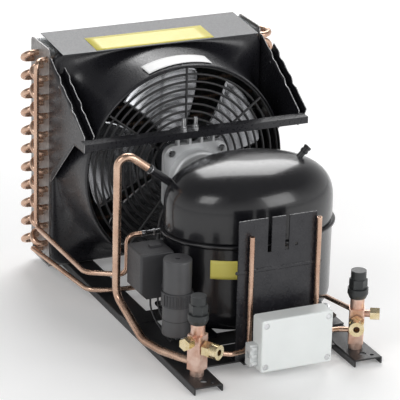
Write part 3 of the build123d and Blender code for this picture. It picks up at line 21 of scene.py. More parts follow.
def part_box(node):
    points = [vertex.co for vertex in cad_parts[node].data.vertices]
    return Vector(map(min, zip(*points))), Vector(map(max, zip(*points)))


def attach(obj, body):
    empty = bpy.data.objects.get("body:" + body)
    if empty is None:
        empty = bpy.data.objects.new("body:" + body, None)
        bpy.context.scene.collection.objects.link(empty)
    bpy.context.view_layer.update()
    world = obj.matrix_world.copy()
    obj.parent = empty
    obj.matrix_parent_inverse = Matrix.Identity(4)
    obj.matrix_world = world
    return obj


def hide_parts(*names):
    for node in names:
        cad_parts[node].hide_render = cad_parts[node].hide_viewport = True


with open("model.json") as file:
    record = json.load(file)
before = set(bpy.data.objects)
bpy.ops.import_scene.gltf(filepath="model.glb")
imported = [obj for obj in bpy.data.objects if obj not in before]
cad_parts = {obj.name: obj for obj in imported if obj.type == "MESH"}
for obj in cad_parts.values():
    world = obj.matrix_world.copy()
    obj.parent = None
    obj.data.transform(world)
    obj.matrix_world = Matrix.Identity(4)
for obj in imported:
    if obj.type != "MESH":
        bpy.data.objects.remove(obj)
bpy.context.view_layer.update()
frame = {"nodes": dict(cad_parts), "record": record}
MM = 0.001

# %% [markdown]
# ## Shapes as arrays
#
# A piece can be pushed and pulled by hand, built from primitives, or worked out as a surface.
# Here it is worked out: a shape is a pair, its points and a list of face arrays. A grid of
# points (rows by columns) is enough for a skin, a pipe or a turned part, and numpy fills the
# whole grid at once.

# %% Grids, caps and joins
def skin(grid, wrap_rows=False, wrap_columns=False):
    """Quads between the neighbours of a grid of points; a wrapped side joins its end to its start."""
    rows, columns = grid.shape[:2]
    index = np.arange(rows * columns).reshape(rows, columns)
    if wrap_rows:
        index = np.vstack([index, index[:1]])
    if wrap_columns:
        index = np.hstack([index, index[:, :1]])
    corners = [index[:-1, :-1], index[:-1, 1:], index[1:, 1:], index[1:, :-1]]
    return grid.reshape(-1, 3), [np.stack(corners, axis=-1).reshape(-1, 4)]


def closed(grid):
    """A stack of rings skinned over, with one flat face on each end."""
    points, faces = skin(grid, wrap_columns=True)
    ring = np.arange(grid.shape[1])
    return points, faces + [ring[None, ::-1], (len(points) - len(ring) + ring)[None, :]]


def joined(shapes):
    """Several shapes as one: their points one after another, each face array counted on."""
    starts = np.cumsum([0] + [len(points) for points, faces in shapes])
    points = np.concatenate([points for points, faces in shapes])
    faces = [array + start for (own, arrays), start in zip(shapes, starts) for array in arrays]
    return points, faces


def copies(shape, offsets):
    """The same shape moved to each offset."""
    points, faces = shape
    return joined([(points + np.array(offset), faces) for offset in offsets])


print("shape helpers ready")

# %% Pieces from shapes
def piece(name, shape, material, body="unit", instead_of=(), crease=35):
    """A mesh object from a shape: normals outwards, smooth up to the crease angle, riding on a body."""
    points, faces = shape
    mesh = bpy.data.meshes.new(name)
    mesh.from_pydata(points.tolist(), [], [face for array in faces for face in array.tolist()])
    work = bmesh.new()
    work.from_mesh(mesh)
    bmesh.ops.recalc_face_normals(work, faces=work.faces)
    work.to_mesh(mesh)
    work.free()
    mesh.shade_smooth()
    mesh.set_sharp_from_angle(angle=radians(crease))
    mesh.materials.append(material)
    thing = bpy.data.objects.new(name, mesh)
    bpy.context.scene.collection.objects.link(thing)
    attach(thing, body)
    if instead_of:
        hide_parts(*instead_of)
    print(name, len(mesh.polygons), "faces")
    return thing


def with_wall(thing, thickness, offset=-1.0):
    """Sheet thickness by the Solidify modifier."""
    wall = thing.modifiers.new("sheet", "SOLIDIFY")
    wall.thickness = thickness
    wall.offset = offset
    wall.use_even_offset = True
    return wall


print("piece helpers ready")

# %% An outline, and ways to use one
def frame_of(axis, hint=(0, 0, 1)):
    """Three unit vectors: two across and the axis itself, the first as near the hint as it can be."""
    along = np.array(axis, float)
    along /= np.linalg.norm(along)
    first = np.array(hint, float) - along * np.dot(hint, along)
    if np.linalg.norm(first) < 1e-6:
        first = np.array((1.0, 0, 0)) - along * along[0]
    first /= np.linalg.norm(first)
    return first, np.cross(along, first), along


def rounded_box(width, height, corner, steps=8):
    """Rectangle with corner arcs, centred on the origin."""
    quarter = np.linspace(0, pi / 2, steps)
    starts = np.array([0, pi / 2, pi, 3 * pi / 2])
    angle = (starts[:, None] + quarter).ravel()
    sign_x = np.repeat([1, -1, -1, 1], steps)
    sign_y = np.repeat([1, 1, -1, -1], steps)

    def outline(inset):
        arc = max(corner - inset, 0.05 * MM)
        x = sign_x * (width / 2 - inset - arc) + arc * np.cos(angle)
        y = sign_y * (height / 2 - inset - arc) + arc * np.sin(angle)
        return np.stack([x, y], axis=-1)

    return outline


def stack(outline, profile, origin, axis, hint=(0, 0, 1)):
    """Rings of one outline: each profile entry is an inset and a height along the axis."""
    across, up, along = frame_of(axis, hint)
    rings = [
        np.array(origin) + ring[:, :1] * across + ring[:, 1:] * up + height * along
        for ring, height in ((outline(inset), height) for inset, height in profile)
    ]
    return closed(np.array(rings))


def turned(profile, origin, axis, count=64, hint=(0, 0, 1)):
    """Turned part: each profile entry is a radius and a height, swung round the axis."""
    across, up, along = frame_of(axis, hint)
    angle = np.linspace(0, 2 * pi, count, endpoint=False)
    radius, height = np.array(profile, float).T
    spoke = np.cos(angle)[:, None] * across + np.sin(angle)[:, None] * up
    return closed(np.array(origin) + radius[:, None, None] * spoke + height[:, None, None] * along)


def bar(start, end, radius, count=12):
    """Round bar between two points."""
    start = np.array(start, float)
    axis = np.array(end, float) - start
    return turned([(radius, 0), (radius, np.linalg.norm(axis))], start, axis, count)


def wire_ring(centre, axis, radius, wire, around=128, sides=10):
    """Torus: a small circle of the wire's radius carried round a large one."""
    across, up, along = frame_of(axis)
    large = np.linspace(0, 2 * pi, around, endpoint=False)
    small = np.linspace(0, 2 * pi, sides, endpoint=False)
    spoke = np.cos(large)[:, None] * across + np.sin(large)[:, None] * up
    reach = (radius + wire * np.cos(small))[None, :, None]
    grid = np.array(centre) + spoke[:, None, :] * reach + (wire * np.sin(small))[None, :, None] * along
    return skin(grid, wrap_rows=True, wrap_columns=True)


print("outline helpers ready")

# %% [markdown]
# ## Finishes
#
# Every finish is a small node tree: noise on Object coordinates varies the colour and the
# roughness a little, and a finer noise gives the bump. Object coordinates are in metres and
# every mesh holds its own place, so a noise scale of 400 repeats about every 2.5 mm. An image
# would be quicker for one surface, but the nodes fit all pieces and stay sharp.

# %% Noise, ranges and colour mixes
def noise_on(tree, coordinates, scale, detail=3.0, stretch=None):
    """Noise texture of that scale, on coordinates that may be stretched along one axis."""
    source = coordinates
    if stretch:
        mapping = tree.nodes.new("ShaderNodeMapping")
        mapping.inputs["Scale"].default_value = stretch
        tree.links.new(coordinates, mapping.inputs["Vector"])
        source = mapping.outputs["Vector"]
    noise = tree.nodes.new("ShaderNodeTexNoise")
    noise.inputs["Scale"].default_value = scale
    noise.inputs["Detail"].default_value = detail
    tree.links.new(source, noise.inputs["Vector"])
    return noise.outputs["Fac"]


def spread(tree, value, low, high, start=0.35, stop=0.65):
    """Map the middle of a noise to a range of numbers."""
    node = tree.nodes.new("ShaderNodeMapRange")
    node.inputs["From Min"].default_value = start
    node.inputs["From Max"].default_value = stop
    node.inputs["To Min"].default_value = low
    node.inputs["To Max"].default_value = high
    tree.links.new(value, node.inputs["Value"])
    return node.outputs["Result"]


def blend_colours(tree, value, first, second):
    """Mix two colours by a value."""
    mix = tree.nodes.new("ShaderNodeMix")
    mix.data_type = "RGBA"
    mix.inputs["A"].default_value = (*first, 1)
    mix.inputs["B"].default_value = (*second, 1)
    tree.links.new(value, mix.inputs["Factor"])
    return mix.outputs["Result"]


print("node helpers ready")

# %% One finish
def finish(name, colours, metal=0.0, rough=(0.3, 0.4), patch=30.0, grain=800.0, bump=0.05, depth=0.05,
           stretch=None, coat=0.0, specular=0.5):
    """Principled material: two colours in soft patches, varying roughness, and a fine bump in millimetres."""
    material = bpy.data.materials.new(name)
    material.use_nodes = True
    tree = material.node_tree
    shader = tree.nodes["Principled BSDF"]
    shader.inputs["Metallic"].default_value = metal
    shader.inputs["Coat Weight"].default_value = coat
    shader.inputs["Coat Roughness"].default_value = 0.06
    shader.inputs["Specular IOR Level"].default_value = specular
    coordinates = tree.nodes.new("ShaderNodeTexCoord").outputs["Object"]
    patches = noise_on(tree, coordinates, patch, 4.0)
    colour = blend_colours(tree, spread(tree, patches, 0, 1), *colours)
    tree.links.new(colour, shader.inputs["Base Color"])
    streaks = noise_on(tree, coordinates, grain * 0.35, 2.0, stretch)
    tree.links.new(spread(tree, streaks, *rough), shader.inputs["Roughness"])
    if bump:
        height = noise_on(tree, coordinates, grain, 2.0, stretch)
        node = tree.nodes.new("ShaderNodeBump")
        node.inputs["Strength"].default_value = bump
        node.inputs["Distance"].default_value = depth * MM
        tree.links.new(height, node.inputs["Height"])
        tree.links.new(node.outputs["Normal"], shader.inputs["Normal"])
    return material


print("finish ready")

# %% [markdown]
# The recipes give each finish its two colours, in linear light, and what differs from the plain
# case: bare metals are metallic, castings and wrinkle paint are coarser, and the shell's enamel
# has a thin coat.

# %% Finishes of the CAD nodes
recipes = {
    "rail_paint": dict(colours=((0.020, 0.020, 0.022), (0.032, 0.032, 0.034)), rough=(0.34, 0.48),
                       grain=1500, bump=0.25, depth=0.08),
    "shroud_paint": dict(colours=((0.012, 0.012, 0.015), (0.018, 0.018, 0.022)), rough=(0.26, 0.36),
                         patch=12, grain=1100, bump=0.08, depth=0.03),
    "cover_paint": dict(colours=((0.040, 0.043, 0.048), (0.052, 0.055, 0.060)), rough=(0.32, 0.42),
                        patch=10, grain=1100, bump=0.1, depth=0.03),
    "bracket_paint": dict(colours=((0.014, 0.014, 0.018), (0.022, 0.022, 0.026)), rough=(0.20, 0.30),
                          patch=60, grain=420, bump=0.8, depth=0.5),
    "compressor_paint": dict(colours=((0.007, 0.007, 0.009), (0.011, 0.011, 0.013)), patch=15,
                             rough=(0.20, 0.27), grain=700, bump=0.04, depth=0.02, coat=0.3),
    "guard_wire": dict(colours=((0.020, 0.020, 0.022), (0.030, 0.030, 0.032)), rough=(0.38, 0.50)),
    "galvanised": dict(colours=((0.26, 0.25, 0.245), (0.36, 0.35, 0.345)), metal=0.7, rough=(0.36, 0.52),
                       patch=140, grain=900),
    "fin_aluminium": dict(colours=((0.50, 0.51, 0.52), (0.64, 0.65, 0.66)), metal=1.0, rough=(0.36, 0.50)),
    "blade_aluminium": dict(colours=((0.30, 0.305, 0.32), (0.38, 0.385, 0.40)), metal=1.0,
                            rough=(0.16, 0.24), grain=500, bump=0.02, stretch=(1, 1, 6)),
    "cast_aluminium": dict(colours=((0.64, 0.65, 0.66), (0.76, 0.77, 0.78)), metal=0.55, rough=(0.42, 0.56),
                           grain=1300, bump=0.5, depth=0.12),
    "copper": dict(colours=((0.52, 0.33, 0.24), (0.70, 0.49, 0.37)), metal=1.0, rough=(0.24, 0.32),
                   patch=28, grain=600, bump=0),
    "winding_copper": dict(colours=((0.50, 0.22, 0.10), (0.62, 0.30, 0.15)), metal=1.0, grain=1500,
                           bump=0.6, depth=0.2),
    "valve_bronze": dict(colours=((0.66, 0.40, 0.30), (0.84, 0.62, 0.52)), metal=0.85, rough=(0.30, 0.46),
                         patch=90, grain=900, bump=0.25, depth=0.08),
    "brass": dict(colours=((0.74, 0.60, 0.34), (0.86, 0.74, 0.50)), metal=1.0, rough=(0.20, 0.32),
                  patch=120, grain=700, bump=0.05),
    "zinc": dict(colours=((0.62, 0.63, 0.64), (0.78, 0.79, 0.80)), metal=1.0, rough=(0.24, 0.36),
                 patch=200),
    "ground_steel": dict(colours=((0.52, 0.53, 0.54), (0.62, 0.63, 0.64)), metal=1.0, rough=(0.20, 0.34)),
    "core_steel": dict(colours=((0.28, 0.28, 0.29), (0.36, 0.36, 0.37)), metal=0.8, rough=(0.4, 0.6),
                       grain=1500, stretch=(0.2, 0.2, 1)),
    "cast_iron": dict(colours=((0.18, 0.18, 0.19), (0.24, 0.24, 0.25)), metal=0.6, rough=(0.45, 0.6),
                      bump=0.6, depth=0.15),
    "cap_plastic": dict(colours=((0.022, 0.025, 0.026), (0.030, 0.033, 0.034)), rough=(0.32, 0.44)),
    "box_plastic": dict(colours=((0.83, 0.86, 0.85), (0.87, 0.90, 0.89)), rough=(0.36, 0.46), patch=20,
                        grain=1600, bump=0.15, depth=0.04),
    "gland_plastic": dict(colours=((0.70, 0.72, 0.72), (0.74, 0.76, 0.76)), rough=(0.36, 0.46)),
    "starter_plastic": dict(colours=((0.040, 0.040, 0.043), (0.054, 0.054, 0.058)), rough=(0.40, 0.52),
                            patch=25, grain=1400, bump=0.25, depth=0.06),
    "capacitor_plastic": dict(colours=((0.070, 0.070, 0.074), (0.088, 0.088, 0.092)), rough=(0.34, 0.46),
                              patch=25, grain=1400, bump=0.2, depth=0.05),
    "rubber": dict(colours=((0.020, 0.020, 0.020), (0.030, 0.030, 0.030)), rough=(0.6, 0.75)),
    "cable_sheath": dict(colours=((0.020, 0.020, 0.022), (0.030, 0.030, 0.032)), rough=(0.42, 0.55)),
}
look = {name: finish(name, **recipe) for name, recipe in recipes.items()}
slot_of = {entry["node"]: entry["material_slot"] for entry in frame["record"]["subparts"]}
for node, thing in frame["nodes"].items():
    thing.data.materials.clear()
    thing.data.materials.append(look[slot_of[node]])
print(len(look), "finishes on", len(slot_of), "nodes")

# %% [markdown]
# Four finishes belong to new pieces only: the bare edge of cut sheet, pale also as a painted
# highlight, the steel of the stubs, and the yellow and white of labels that carry no print.

# %% Finishes of the new pieces
# The edge finish is bare steel, and its pale colour is also a painted highlight on the sheet's edges.
bare_edge_and_highlight = finish("bare_edge_and_highlight", ((0.42, 0.42, 0.43), (0.70, 0.70, 0.71)), metal=0.3, rough=(0.25, 0.4),
                  patch=300)
sleeve_steel = finish("sleeve_steel", ((0.30, 0.30, 0.31), (0.44, 0.44, 0.45)), metal=1.0,
                      rough=(0.22, 0.34))
yellow_label = finish("yellow_label", ((0.80, 0.70, 0.14), (0.84, 0.75, 0.18)), rough=(0.30, 0.40),
                      patch=20, bump=0)
white_label = finish("white_label", ((0.86, 0.86, 0.86), (0.90, 0.90, 0.90)), rough=(0.35, 0.45),
                     patch=20, bump=0)
print("label, edge and sleeve finishes ready")

# %% [markdown]
# ## Camera, floor and light
#
# The camera stands far off with a long lens, so that the rails run almost parallel. It could be
# aimed by a constraint, but three angles say it all: how far it turns, looks down and leans.

# %% Camera
lens_length = 222.26
camera_place = Vector((-1.22385, -2.6001, 1.2592))
camera = bpy.data.objects.new("camera", bpy.data.cameras.new("camera"))
bpy.context.scene.collection.objects.link(camera)
bpy.context.scene.camera = camera
camera.data.sensor_width = 36.0
camera.data.lens = lens_length
turn, fall, roll = radians(24.92), radians(21.21), radians(1.462)
forward = Vector((sin(turn) * cos(fall), cos(turn) * cos(fall), -sin(fall)))
level = Vector((cos(turn), -sin(turn), 0))
upward = level.cross(forward)
right = level * cos(roll) + upward * sin(roll)
top = upward * cos(roll) - level * sin(roll)
placed = Matrix((right, top, -forward)).transposed().to_4x4()
placed.translation = camera_place
camera.matrix_world = placed
print("camera at", [round(v, 3) for v in camera_place])

# %% [markdown]
# A large pale floor keeps the shadow. To the camera, and in reflections, it also glows a little,
# which brings it near white without any more light on the unit.

# %% Floor
half = 7.0
floor_level = -0.5 * MM
floor_glow = 0.16
floor_mesh = bpy.data.meshes.new("floor")
floor_corners = [(x * half, y * half, floor_level) for x, y in ((-1, -1), (1, -1), (1, 1), (-1, 1))]
floor_mesh.from_pydata(floor_corners, [], [(0, 1, 2, 3)])
floor = bpy.data.objects.new("floor", floor_mesh)
bpy.context.scene.collection.objects.link(floor)
floor_paint = bpy.data.materials.new("floor")
floor_paint.use_nodes = True
floor_tree = floor_paint.node_tree
floor_shader = floor_tree.nodes["Principled BSDF"]
floor_shader.inputs["Base Color"].default_value = (0.93, 0.93, 0.93, 1)
floor_shader.inputs["Roughness"].default_value = 0.9
floor_shader.inputs["Emission Color"].default_value = (1, 1, 1, 1)
lift = floor_tree.nodes.new("ShaderNodeMath")
lift.operation = "MULTIPLY"
lift.inputs[1].default_value = floor_glow
ray = floor_tree.nodes.new("ShaderNodeLightPath")
seen = ray.outputs["Is Camera Ray"]
for other in ("Is Glossy Ray", "Is Transmission Ray"):
    either = floor_tree.nodes.new("ShaderNodeMath")
    either.operation = "MAXIMUM"
    floor_tree.links.new(seen, either.inputs[0])
    floor_tree.links.new(ray.outputs[other], either.inputs[1])
    seen = either.outputs[0]
floor_tree.links.new(seen, lift.inputs[0])
floor_tree.links.new(lift.outputs[0], floor_shader.inputs["Emission Strength"])
floor_mesh.materials.append(floor_paint)
print("floor of", 2 * half, "m")

# %% [markdown]
# Point lamps would leave hard spots on glossy black paint. Three square lamps, one behind and two
# in front, give it the broad highlights of a studio. The world is white at the horizon and fades
# to a dark ceiling, so that black paint stays black.

# %% Lamps
def soft_lamp(name, place, target, size, power):
    """Square area lamp aimed at a point."""
    lamp = bpy.data.objects.new(name, bpy.data.lights.new(name, "AREA"))
    lamp.data.size = size
    lamp.data.energy = power
    lamp.location = place
    lamp.rotation_euler = (Vector(target) - Vector(place)).to_track_quat("-Z", "Y").to_euler()
    bpy.context.scene.collection.objects.link(lamp)
    return lamp


soft_lamp("back_box", (0.90, 1.90, 2.15), (0, 0, 0.15), 1.9, 56)
soft_lamp("front_right_box", (1.10, -1.90, 1.07), (-0.10, 0.08, 0.17), 1.2, 16)
soft_lamp("front_left_box", (-1.9, -1.3, 1.9), (0, 0, 0.15), 1.1, 16)
print("3 soft lamps")

# %% World
horizon_light, ceiling_light = 0.95, 0.22
world = bpy.data.worlds.new("studio")
bpy.context.scene.world = world
world.use_nodes = True
sky = world.node_tree
split = sky.nodes.new("ShaderNodeSeparateXYZ")
sky.links.new(sky.nodes.new("ShaderNodeTexCoord").outputs["Generated"], split.inputs["Vector"])
fade = spread(sky, split.outputs["Z"], horizon_light, ceiling_light, start=0.05, stop=0.60)
sky.links.new(fade, sky.nodes["Background"].inputs["Strength"])
sky.nodes["Background"].inputs["Color"].default_value = (1, 1, 1, 1)
bpy.context.scene.view_settings.view_transform = "Standard"
print("world fades from", horizon_light, "to", ceiling_light)

# %% [markdown]
# ## Compressor shell
#
# A hermetic shell is two deep-drawn halves welded at a lip. It could be a subdivided box, but
# its section is known, so it is turned: a superellipse gives the flat crown and the wide
# shoulder of the upper half in one curve, and the round section is squeezed to its oval.

# %% Oval turning
shell_low, shell_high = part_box("shell_upper")
bowl_low, bowl_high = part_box("shell_lower")
shell_centre = ((shell_low.x + shell_high.x) / 2, (shell_low.y + shell_high.y) / 2, 0)
shell_long = (shell_high.x - shell_low.x) / 2
shell_squeeze = (shell_high.y - shell_low.y) / (shell_high.x - shell_low.x)


def oval(profile, count=160):
    """Turned profile squeezed along Y about the shell's centre."""
    points, faces = turned(profile, shell_centre, (0, 0, 1), count)
    points[:, 1] = shell_centre[1] + (points[:, 1] - shell_centre[1]) * shell_squeeze
    return points, faces


print("shell", round(2 * shell_long, 4), "long, squeezed to", round(shell_squeeze, 3))

# %% Upper half
seam = shell_low.z
straight_wall = 0.022
fullness = 2.7
wall_top = seam + straight_wall
crown = shell_high.z - wall_top
sweep = np.linspace(0, pi / 2, 40)
power = 2 / fullness
dome_radius = shell_long * np.clip(np.cos(sweep), 0, 1) ** power
dome_height = wall_top + crown * np.sin(sweep) ** power
dome = [(shell_long - 0.004, seam + 0.0002), (shell_long - 0.0006, seam + 0.0008), (shell_long, seam + 0.003)]
dome += list(zip(np.maximum(dome_radius, 0.0004), dome_height))
piece("compressor_top", oval(dome), look["compressor_paint"],
      instead_of=["shell_upper"], crease=60)

# %% Lower half with the welded lip
bowl_bend = 0.030
quarter = np.linspace(-pi / 2, 0, 16)
lip = bowl_high.x - shell_centre[0]
bowl = [(0.004, bowl_low.z)]
bowl += list(zip(shell_long - bowl_bend + bowl_bend * np.cos(quarter),
                 bowl_low.z + bowl_bend + bowl_bend * np.sin(quarter)))
bowl += [(shell_long, seam - 0.007), (shell_long + 0.0008, seam - 0.0048), (lip - 0.0006, seam - 0.004),
         (lip, seam - 0.0034), (lip, seam - 0.0010), (lip - 0.0006, seam - 0.0003),
         (shell_long - 0.004, seam)]
piece("compressor_bowl", oval(bowl), look["compressor_paint"],
      instead_of=["shell_lower"], crease=60)

# %% [markdown]
# Tubes leave the shell through welded stubs: a black steel sleeve for the suction line, a bright
# one for the discharge line and the crimped filling tube on the shoulder. Bars with rings pushed
# over them would do, but all are turned parts, so each is one short profile along its own axis:
# radius and distance from the free end, in millimetres, running on into the shell.

# %% Stubs on the shell
sleeve_end = np.array([-0.10675, -0.0435, 0.217])
sleeve_root = np.array([-0.07075, -0.0465, 0.1895])
outlet_end = np.array([-0.10925, -0.0335, 0.128])
outlet_root = np.array([-0.0700, -0.0335, 0.128])
tube_root = np.array([0.0700, -0.0720, 0.2035])
tube_end = np.array([0.0955, -0.0720, 0.2280])


inside = 99
sleeve_profile = [(4.4, 0), (5.6, 0), (5.8, 0.6), (5.8, 2.6), (5.2, 3.4), (5.0, 4), (5.0, inside)]
ring_profile = [(5.3, 4.2), (5.9, 4.5), (5.9, 5.6), (5.3, 6.0)]
outlet_profile = [(3.0, 0), (3.7, 0), (3.9, 0.5), (3.9, 6), (3.4, 7), (3.4, 15), (4.3, 15.6), (4.3, 17.5),
                  (3.4, 18), (3.4, inside)]
filling_profile = [(2.6, 0.1), (4.6, 0.3), (5.0, 0.9), (5.0, 3), (4.2, 3.6), (4.2, 5.4), (5.0, 6), (5.0, 9),
                   (3.8, 10), (3.6, inside)]


def stub(name, end, root, profile, material):
    """Turned part from the end of a tube back into the shell, cut off at its root."""
    reach = np.linalg.norm(root - end)
    shape = turned([(r * MM, min(h * MM, reach)) for r, h in profile], end, root - end, 40)
    return piece(name, shape, material)


suction_sleeve = stub("suction_sleeve", sleeve_end, sleeve_root, sleeve_profile, look["compressor_paint"])
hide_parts("shell_stubs")
stub("suction_ring", sleeve_end, sleeve_root, ring_profile, sleeve_steel)
stub("discharge_sleeve", outlet_end, outlet_root, outlet_profile, sleeve_steel)
stub("filling_tube", tube_end, tube_root, filling_profile, look["compressor_paint"])

# %% [markdown]
# The type plate is left blank. A flat rectangle would cut into the curved wall, so the plate is a
# patch of the same oval, a hair proud of it: angle by height.

# %% Blank label on the shell
label_lift = 0.4 * MM
plate_angle = np.radians(np.linspace(-134, -92, 30))[:, None]
plate_height = np.linspace(0.0965, 0.1205, 6)[None, :]
plate_x = shell_centre[0] + (shell_long + label_lift) * np.cos(plate_angle) + 0 * plate_height
shell_short = shell_long * shell_squeeze
plate_y = shell_centre[1] + (shell_short + label_lift) * np.sin(plate_angle) + 0 * plate_height
plate_grid = np.stack([plate_x, plate_y, plate_height + 0 * plate_x], axis=-1)
shell_label = piece("shell_label", skin(plate_grid), yellow_label)
with_wall(shell_label, 0.2 * MM, 0)

# %% [markdown]
# ## Fan shroud
#
# The shroud is drawn from one sheet: a square skirt round the coil flows into a round throat.
# A boolean of a box and a cylinder would have hard corners. Instead each point of the skirt's
# outline is led to the ring along part of an ellipse, first inwards and then forwards, which
# leaves the deep soft corners of a pressing.

# %% Shroud sizes and skirt outline
shroud_low, shroud_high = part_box("fan_shroud")
guard_low, guard_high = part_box("fan_guard")
axis_x = (guard_low.x + guard_high.x) / 2
axis_z = (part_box("fan_hub")[0].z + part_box("fan_hub")[1].z) / 2
ring_radius = 0.135
throat_radius = 0.1375
band_depth = 0.034
sheet = 1.2 * MM
skirt_front = shroud_high.y - 0.0066


def side_points(count=26, corner_steps=14, corner=0.020):
    """Skirt outline as x and z: even points on each side and an arc at each corner."""
    width = shroud_high.x - shroud_low.x - 2 * corner
    height = shroud_high.z - shroud_low.z - 2 * corner
    line = np.linspace(-0.5, 0.5, count)
    arc = np.linspace(0, pi / 2, corner_steps)[1:-1]
    middle = np.array([(shroud_low.x + shroud_high.x) / 2, (shroud_low.z + shroud_high.z) / 2])
    parts = []
    for quarter_turn in range(4):
        angle = quarter_turn * pi / 2
        along, reach = (height, width) if quarter_turn % 2 == 0 else (width, height)
        edge = np.stack([np.full(count, reach / 2 + corner), line * along], axis=-1)
        bend = np.stack([reach / 2 + corner * np.cos(arc), along / 2 + corner * np.sin(arc)], axis=-1)
        rotate = np.array([[cos(angle), -sin(angle)], [sin(angle), cos(angle)]])
        parts.append(np.concatenate([edge, bend]) @ rotate.T)
    return np.concatenate(parts) + middle


outline = side_points()
print(len(outline), "points round the skirt")

# %% Shroud surface
centre = np.array([axis_x, axis_z])
spoke = outline - centre
spoke /= np.linalg.norm(spoke, axis=1, keepdims=True)
edge_bend = 0.004
rows = []
for y, inset in ((shroud_high.y, 0), (skirt_front + edge_bend, 0)):
    rows.append((outline, y))
for step in np.linspace(0, pi / 2, 5)[1:]:
    shrink = edge_bend * (1 - cos(step))
    rows.append((outline - spoke * shrink, skirt_front + edge_bend * (1 - sin(step))))
start = outline - spoke * edge_bend
band_back = shroud_low.y + band_depth
goal = centre + spoke * throat_radius
trumpet_end = radians(66)
inward_haste, forward_delay = 0.85, 1.15
for step in np.linspace(0, trumpet_end, 26)[1:]:
    inward = (sin(step) / sin(trumpet_end)) ** inward_haste
    ahead = ((1 - cos(step)) / (1 - cos(trumpet_end))) ** forward_delay
    rows.append((start + (goal - start) * inward, skirt_front + (band_back - skirt_front) * ahead))
rolled_lip = [(1.6, 8.0), (1.0, 3.0), (0, 0.8), (-1.0, 0), (-2.0, 1.0)]
for outward, back in rolled_lip:
    rows.append((centre + spoke * (ring_radius + outward * MM), shroud_low.y + back * MM))
grid = np.array([np.stack([flat[:, 0], np.full(len(flat), y), flat[:, 1]], axis=-1) for flat, y in rows])
shroud = piece("drawn_shroud", skin(grid, wrap_columns=True), look["shroud_paint"],
               instead_of=["fan_shroud"], crease=16)
with_wall(shroud, sheet)

# %% [markdown]
# A paper label lies on the band. It is a patch of the same cone, a hair larger, so that it bends
# with the sheet: angle by depth.

# %% Blank label on the band
label_angle = radians(90) - np.linspace(-0.37, 0.27, 40)[:, None]
label_depth = np.linspace(0.006, 0.031, 8)[None, :]
label_radius = ring_radius + 2.2 * MM + (throat_radius - ring_radius) * label_depth / band_depth
label_grid = np.stack([axis_x + label_radius * np.cos(label_angle),
                       shroud_low.y + label_depth + 0 * label_angle,
                       axis_z + label_radius * np.sin(label_angle)], axis=-1)
band_label = piece("band_label", skin(label_grid), white_label)
with_wall(band_label, 0.15 * MM, 0)

# %% [markdown]
# ## Side cheeks
#
# Each cheek is a flat sheet beside the shroud whose sloping arm is folded into a channel and
# carries the motor bar. Its free edges were trimmed by hand, so they run in small waves. A
# polygon extruded in one go could only have straight edges. Here the panel and the lip are
# grids, and a sum of two narrow bumps pushes their free edges.

# %% The arm's line and its waves
cheek_low, cheek_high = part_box("side_cheek_left")
bar_low, bar_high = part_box("motor_bar")
arm_top = np.array([0.1608, cheek_high.z])
arm_foot = np.array([cheek_low.y, bar_high.z + 0.004])
arm_length = np.linalg.norm(arm_foot - arm_top)
arm_depth = 0.012
lip_start = 0.12
along_arm = (arm_foot - arm_top) / arm_length
into_arm = np.array([-along_arm[1], along_arm[0]])
wave_down, wave_aside, wave_shift = 1.8 * MM, 1.6 * MM, 0.04


def edge_wave(share):
    """Narrow bell curves along the arm: two outwards, each followed by a weaker one inwards."""
    bumps = [(0.27, 0.045, 1.0), (0.37, 0.04, -0.6), (0.62, 0.045, 1.0), (0.72, 0.04, -0.6)]
    return sum(height * np.exp(-((share - middle) / width) ** 2) for middle, width, height in bumps)


def on_arm(share, inward):
    """Y and Z at a share of the arm's length and a distance inwards from its line, cut off at the foot."""
    y = np.maximum(arm_top[0] + share * arm_length * along_arm[0] + inward * into_arm[0], arm_foot[0])
    return y, arm_top[1] + share * arm_length * along_arm[1] + inward * into_arm[1]


print("arm", round(float(arm_length), 4), "long")

# %% The three grids of a cheek
def arm_wall(x):
    """Upright strip along the arm: share of the length by depth, with a wavy free edge."""
    share = np.linspace(lip_start, 1, 90)[:, None]
    depth = np.linspace(0, 1, 8)[None, :]
    free = (1 - depth) ** 2
    y, z = on_arm(share, depth * arm_depth + wave_down * edge_wave(share) * free)
    return skin(np.stack([x + wave_aside * edge_wave(share + wave_shift) * free, y, z], axis=-1))


def arm_floor(x, width):
    """Bottom of the channel: share of the length by width, straight."""
    share = np.linspace(lip_start, 1, 30)[:, None]
    across = np.linspace(0, width, 3)[None, :]
    y, z = on_arm(share, arm_depth)
    return skin(np.stack([x + across + 0 * share, y + 0 * across, z + 0 * across], axis=-1))


def panel(x):
    """Flat of the cheek: rear edge to foot, by lower edge to the arm's line, wavy near the top."""
    knee_y, knee_z, foot_z = 0.0815, 0.209, 0.2095
    y = np.linspace(cheek_high.y, arm_foot[0], 120)[:, None]
    rise = np.linspace(0, 1, 12)[None, :]
    lower = np.interp(-y, [-cheek_high.y, -arm_top[0], -knee_y, -arm_foot[0]],
                      [cheek_low.z, cheek_low.z, knee_z, foot_z])
    share = np.clip((arm_top[0] - y) / (arm_top[0] - arm_foot[0]), 0, 1)
    upper = arm_top[1] + share * (arm_foot[1] - arm_top[1])
    near_top = rise ** 8
    z = lower + (upper - lower) * rise - wave_down * edge_wave(share) * near_top
    return skin(np.stack([x + wave_aside * edge_wave(share + wave_shift) * near_top, y + 0 * z, z], axis=-1))


print("cheek grids ready")

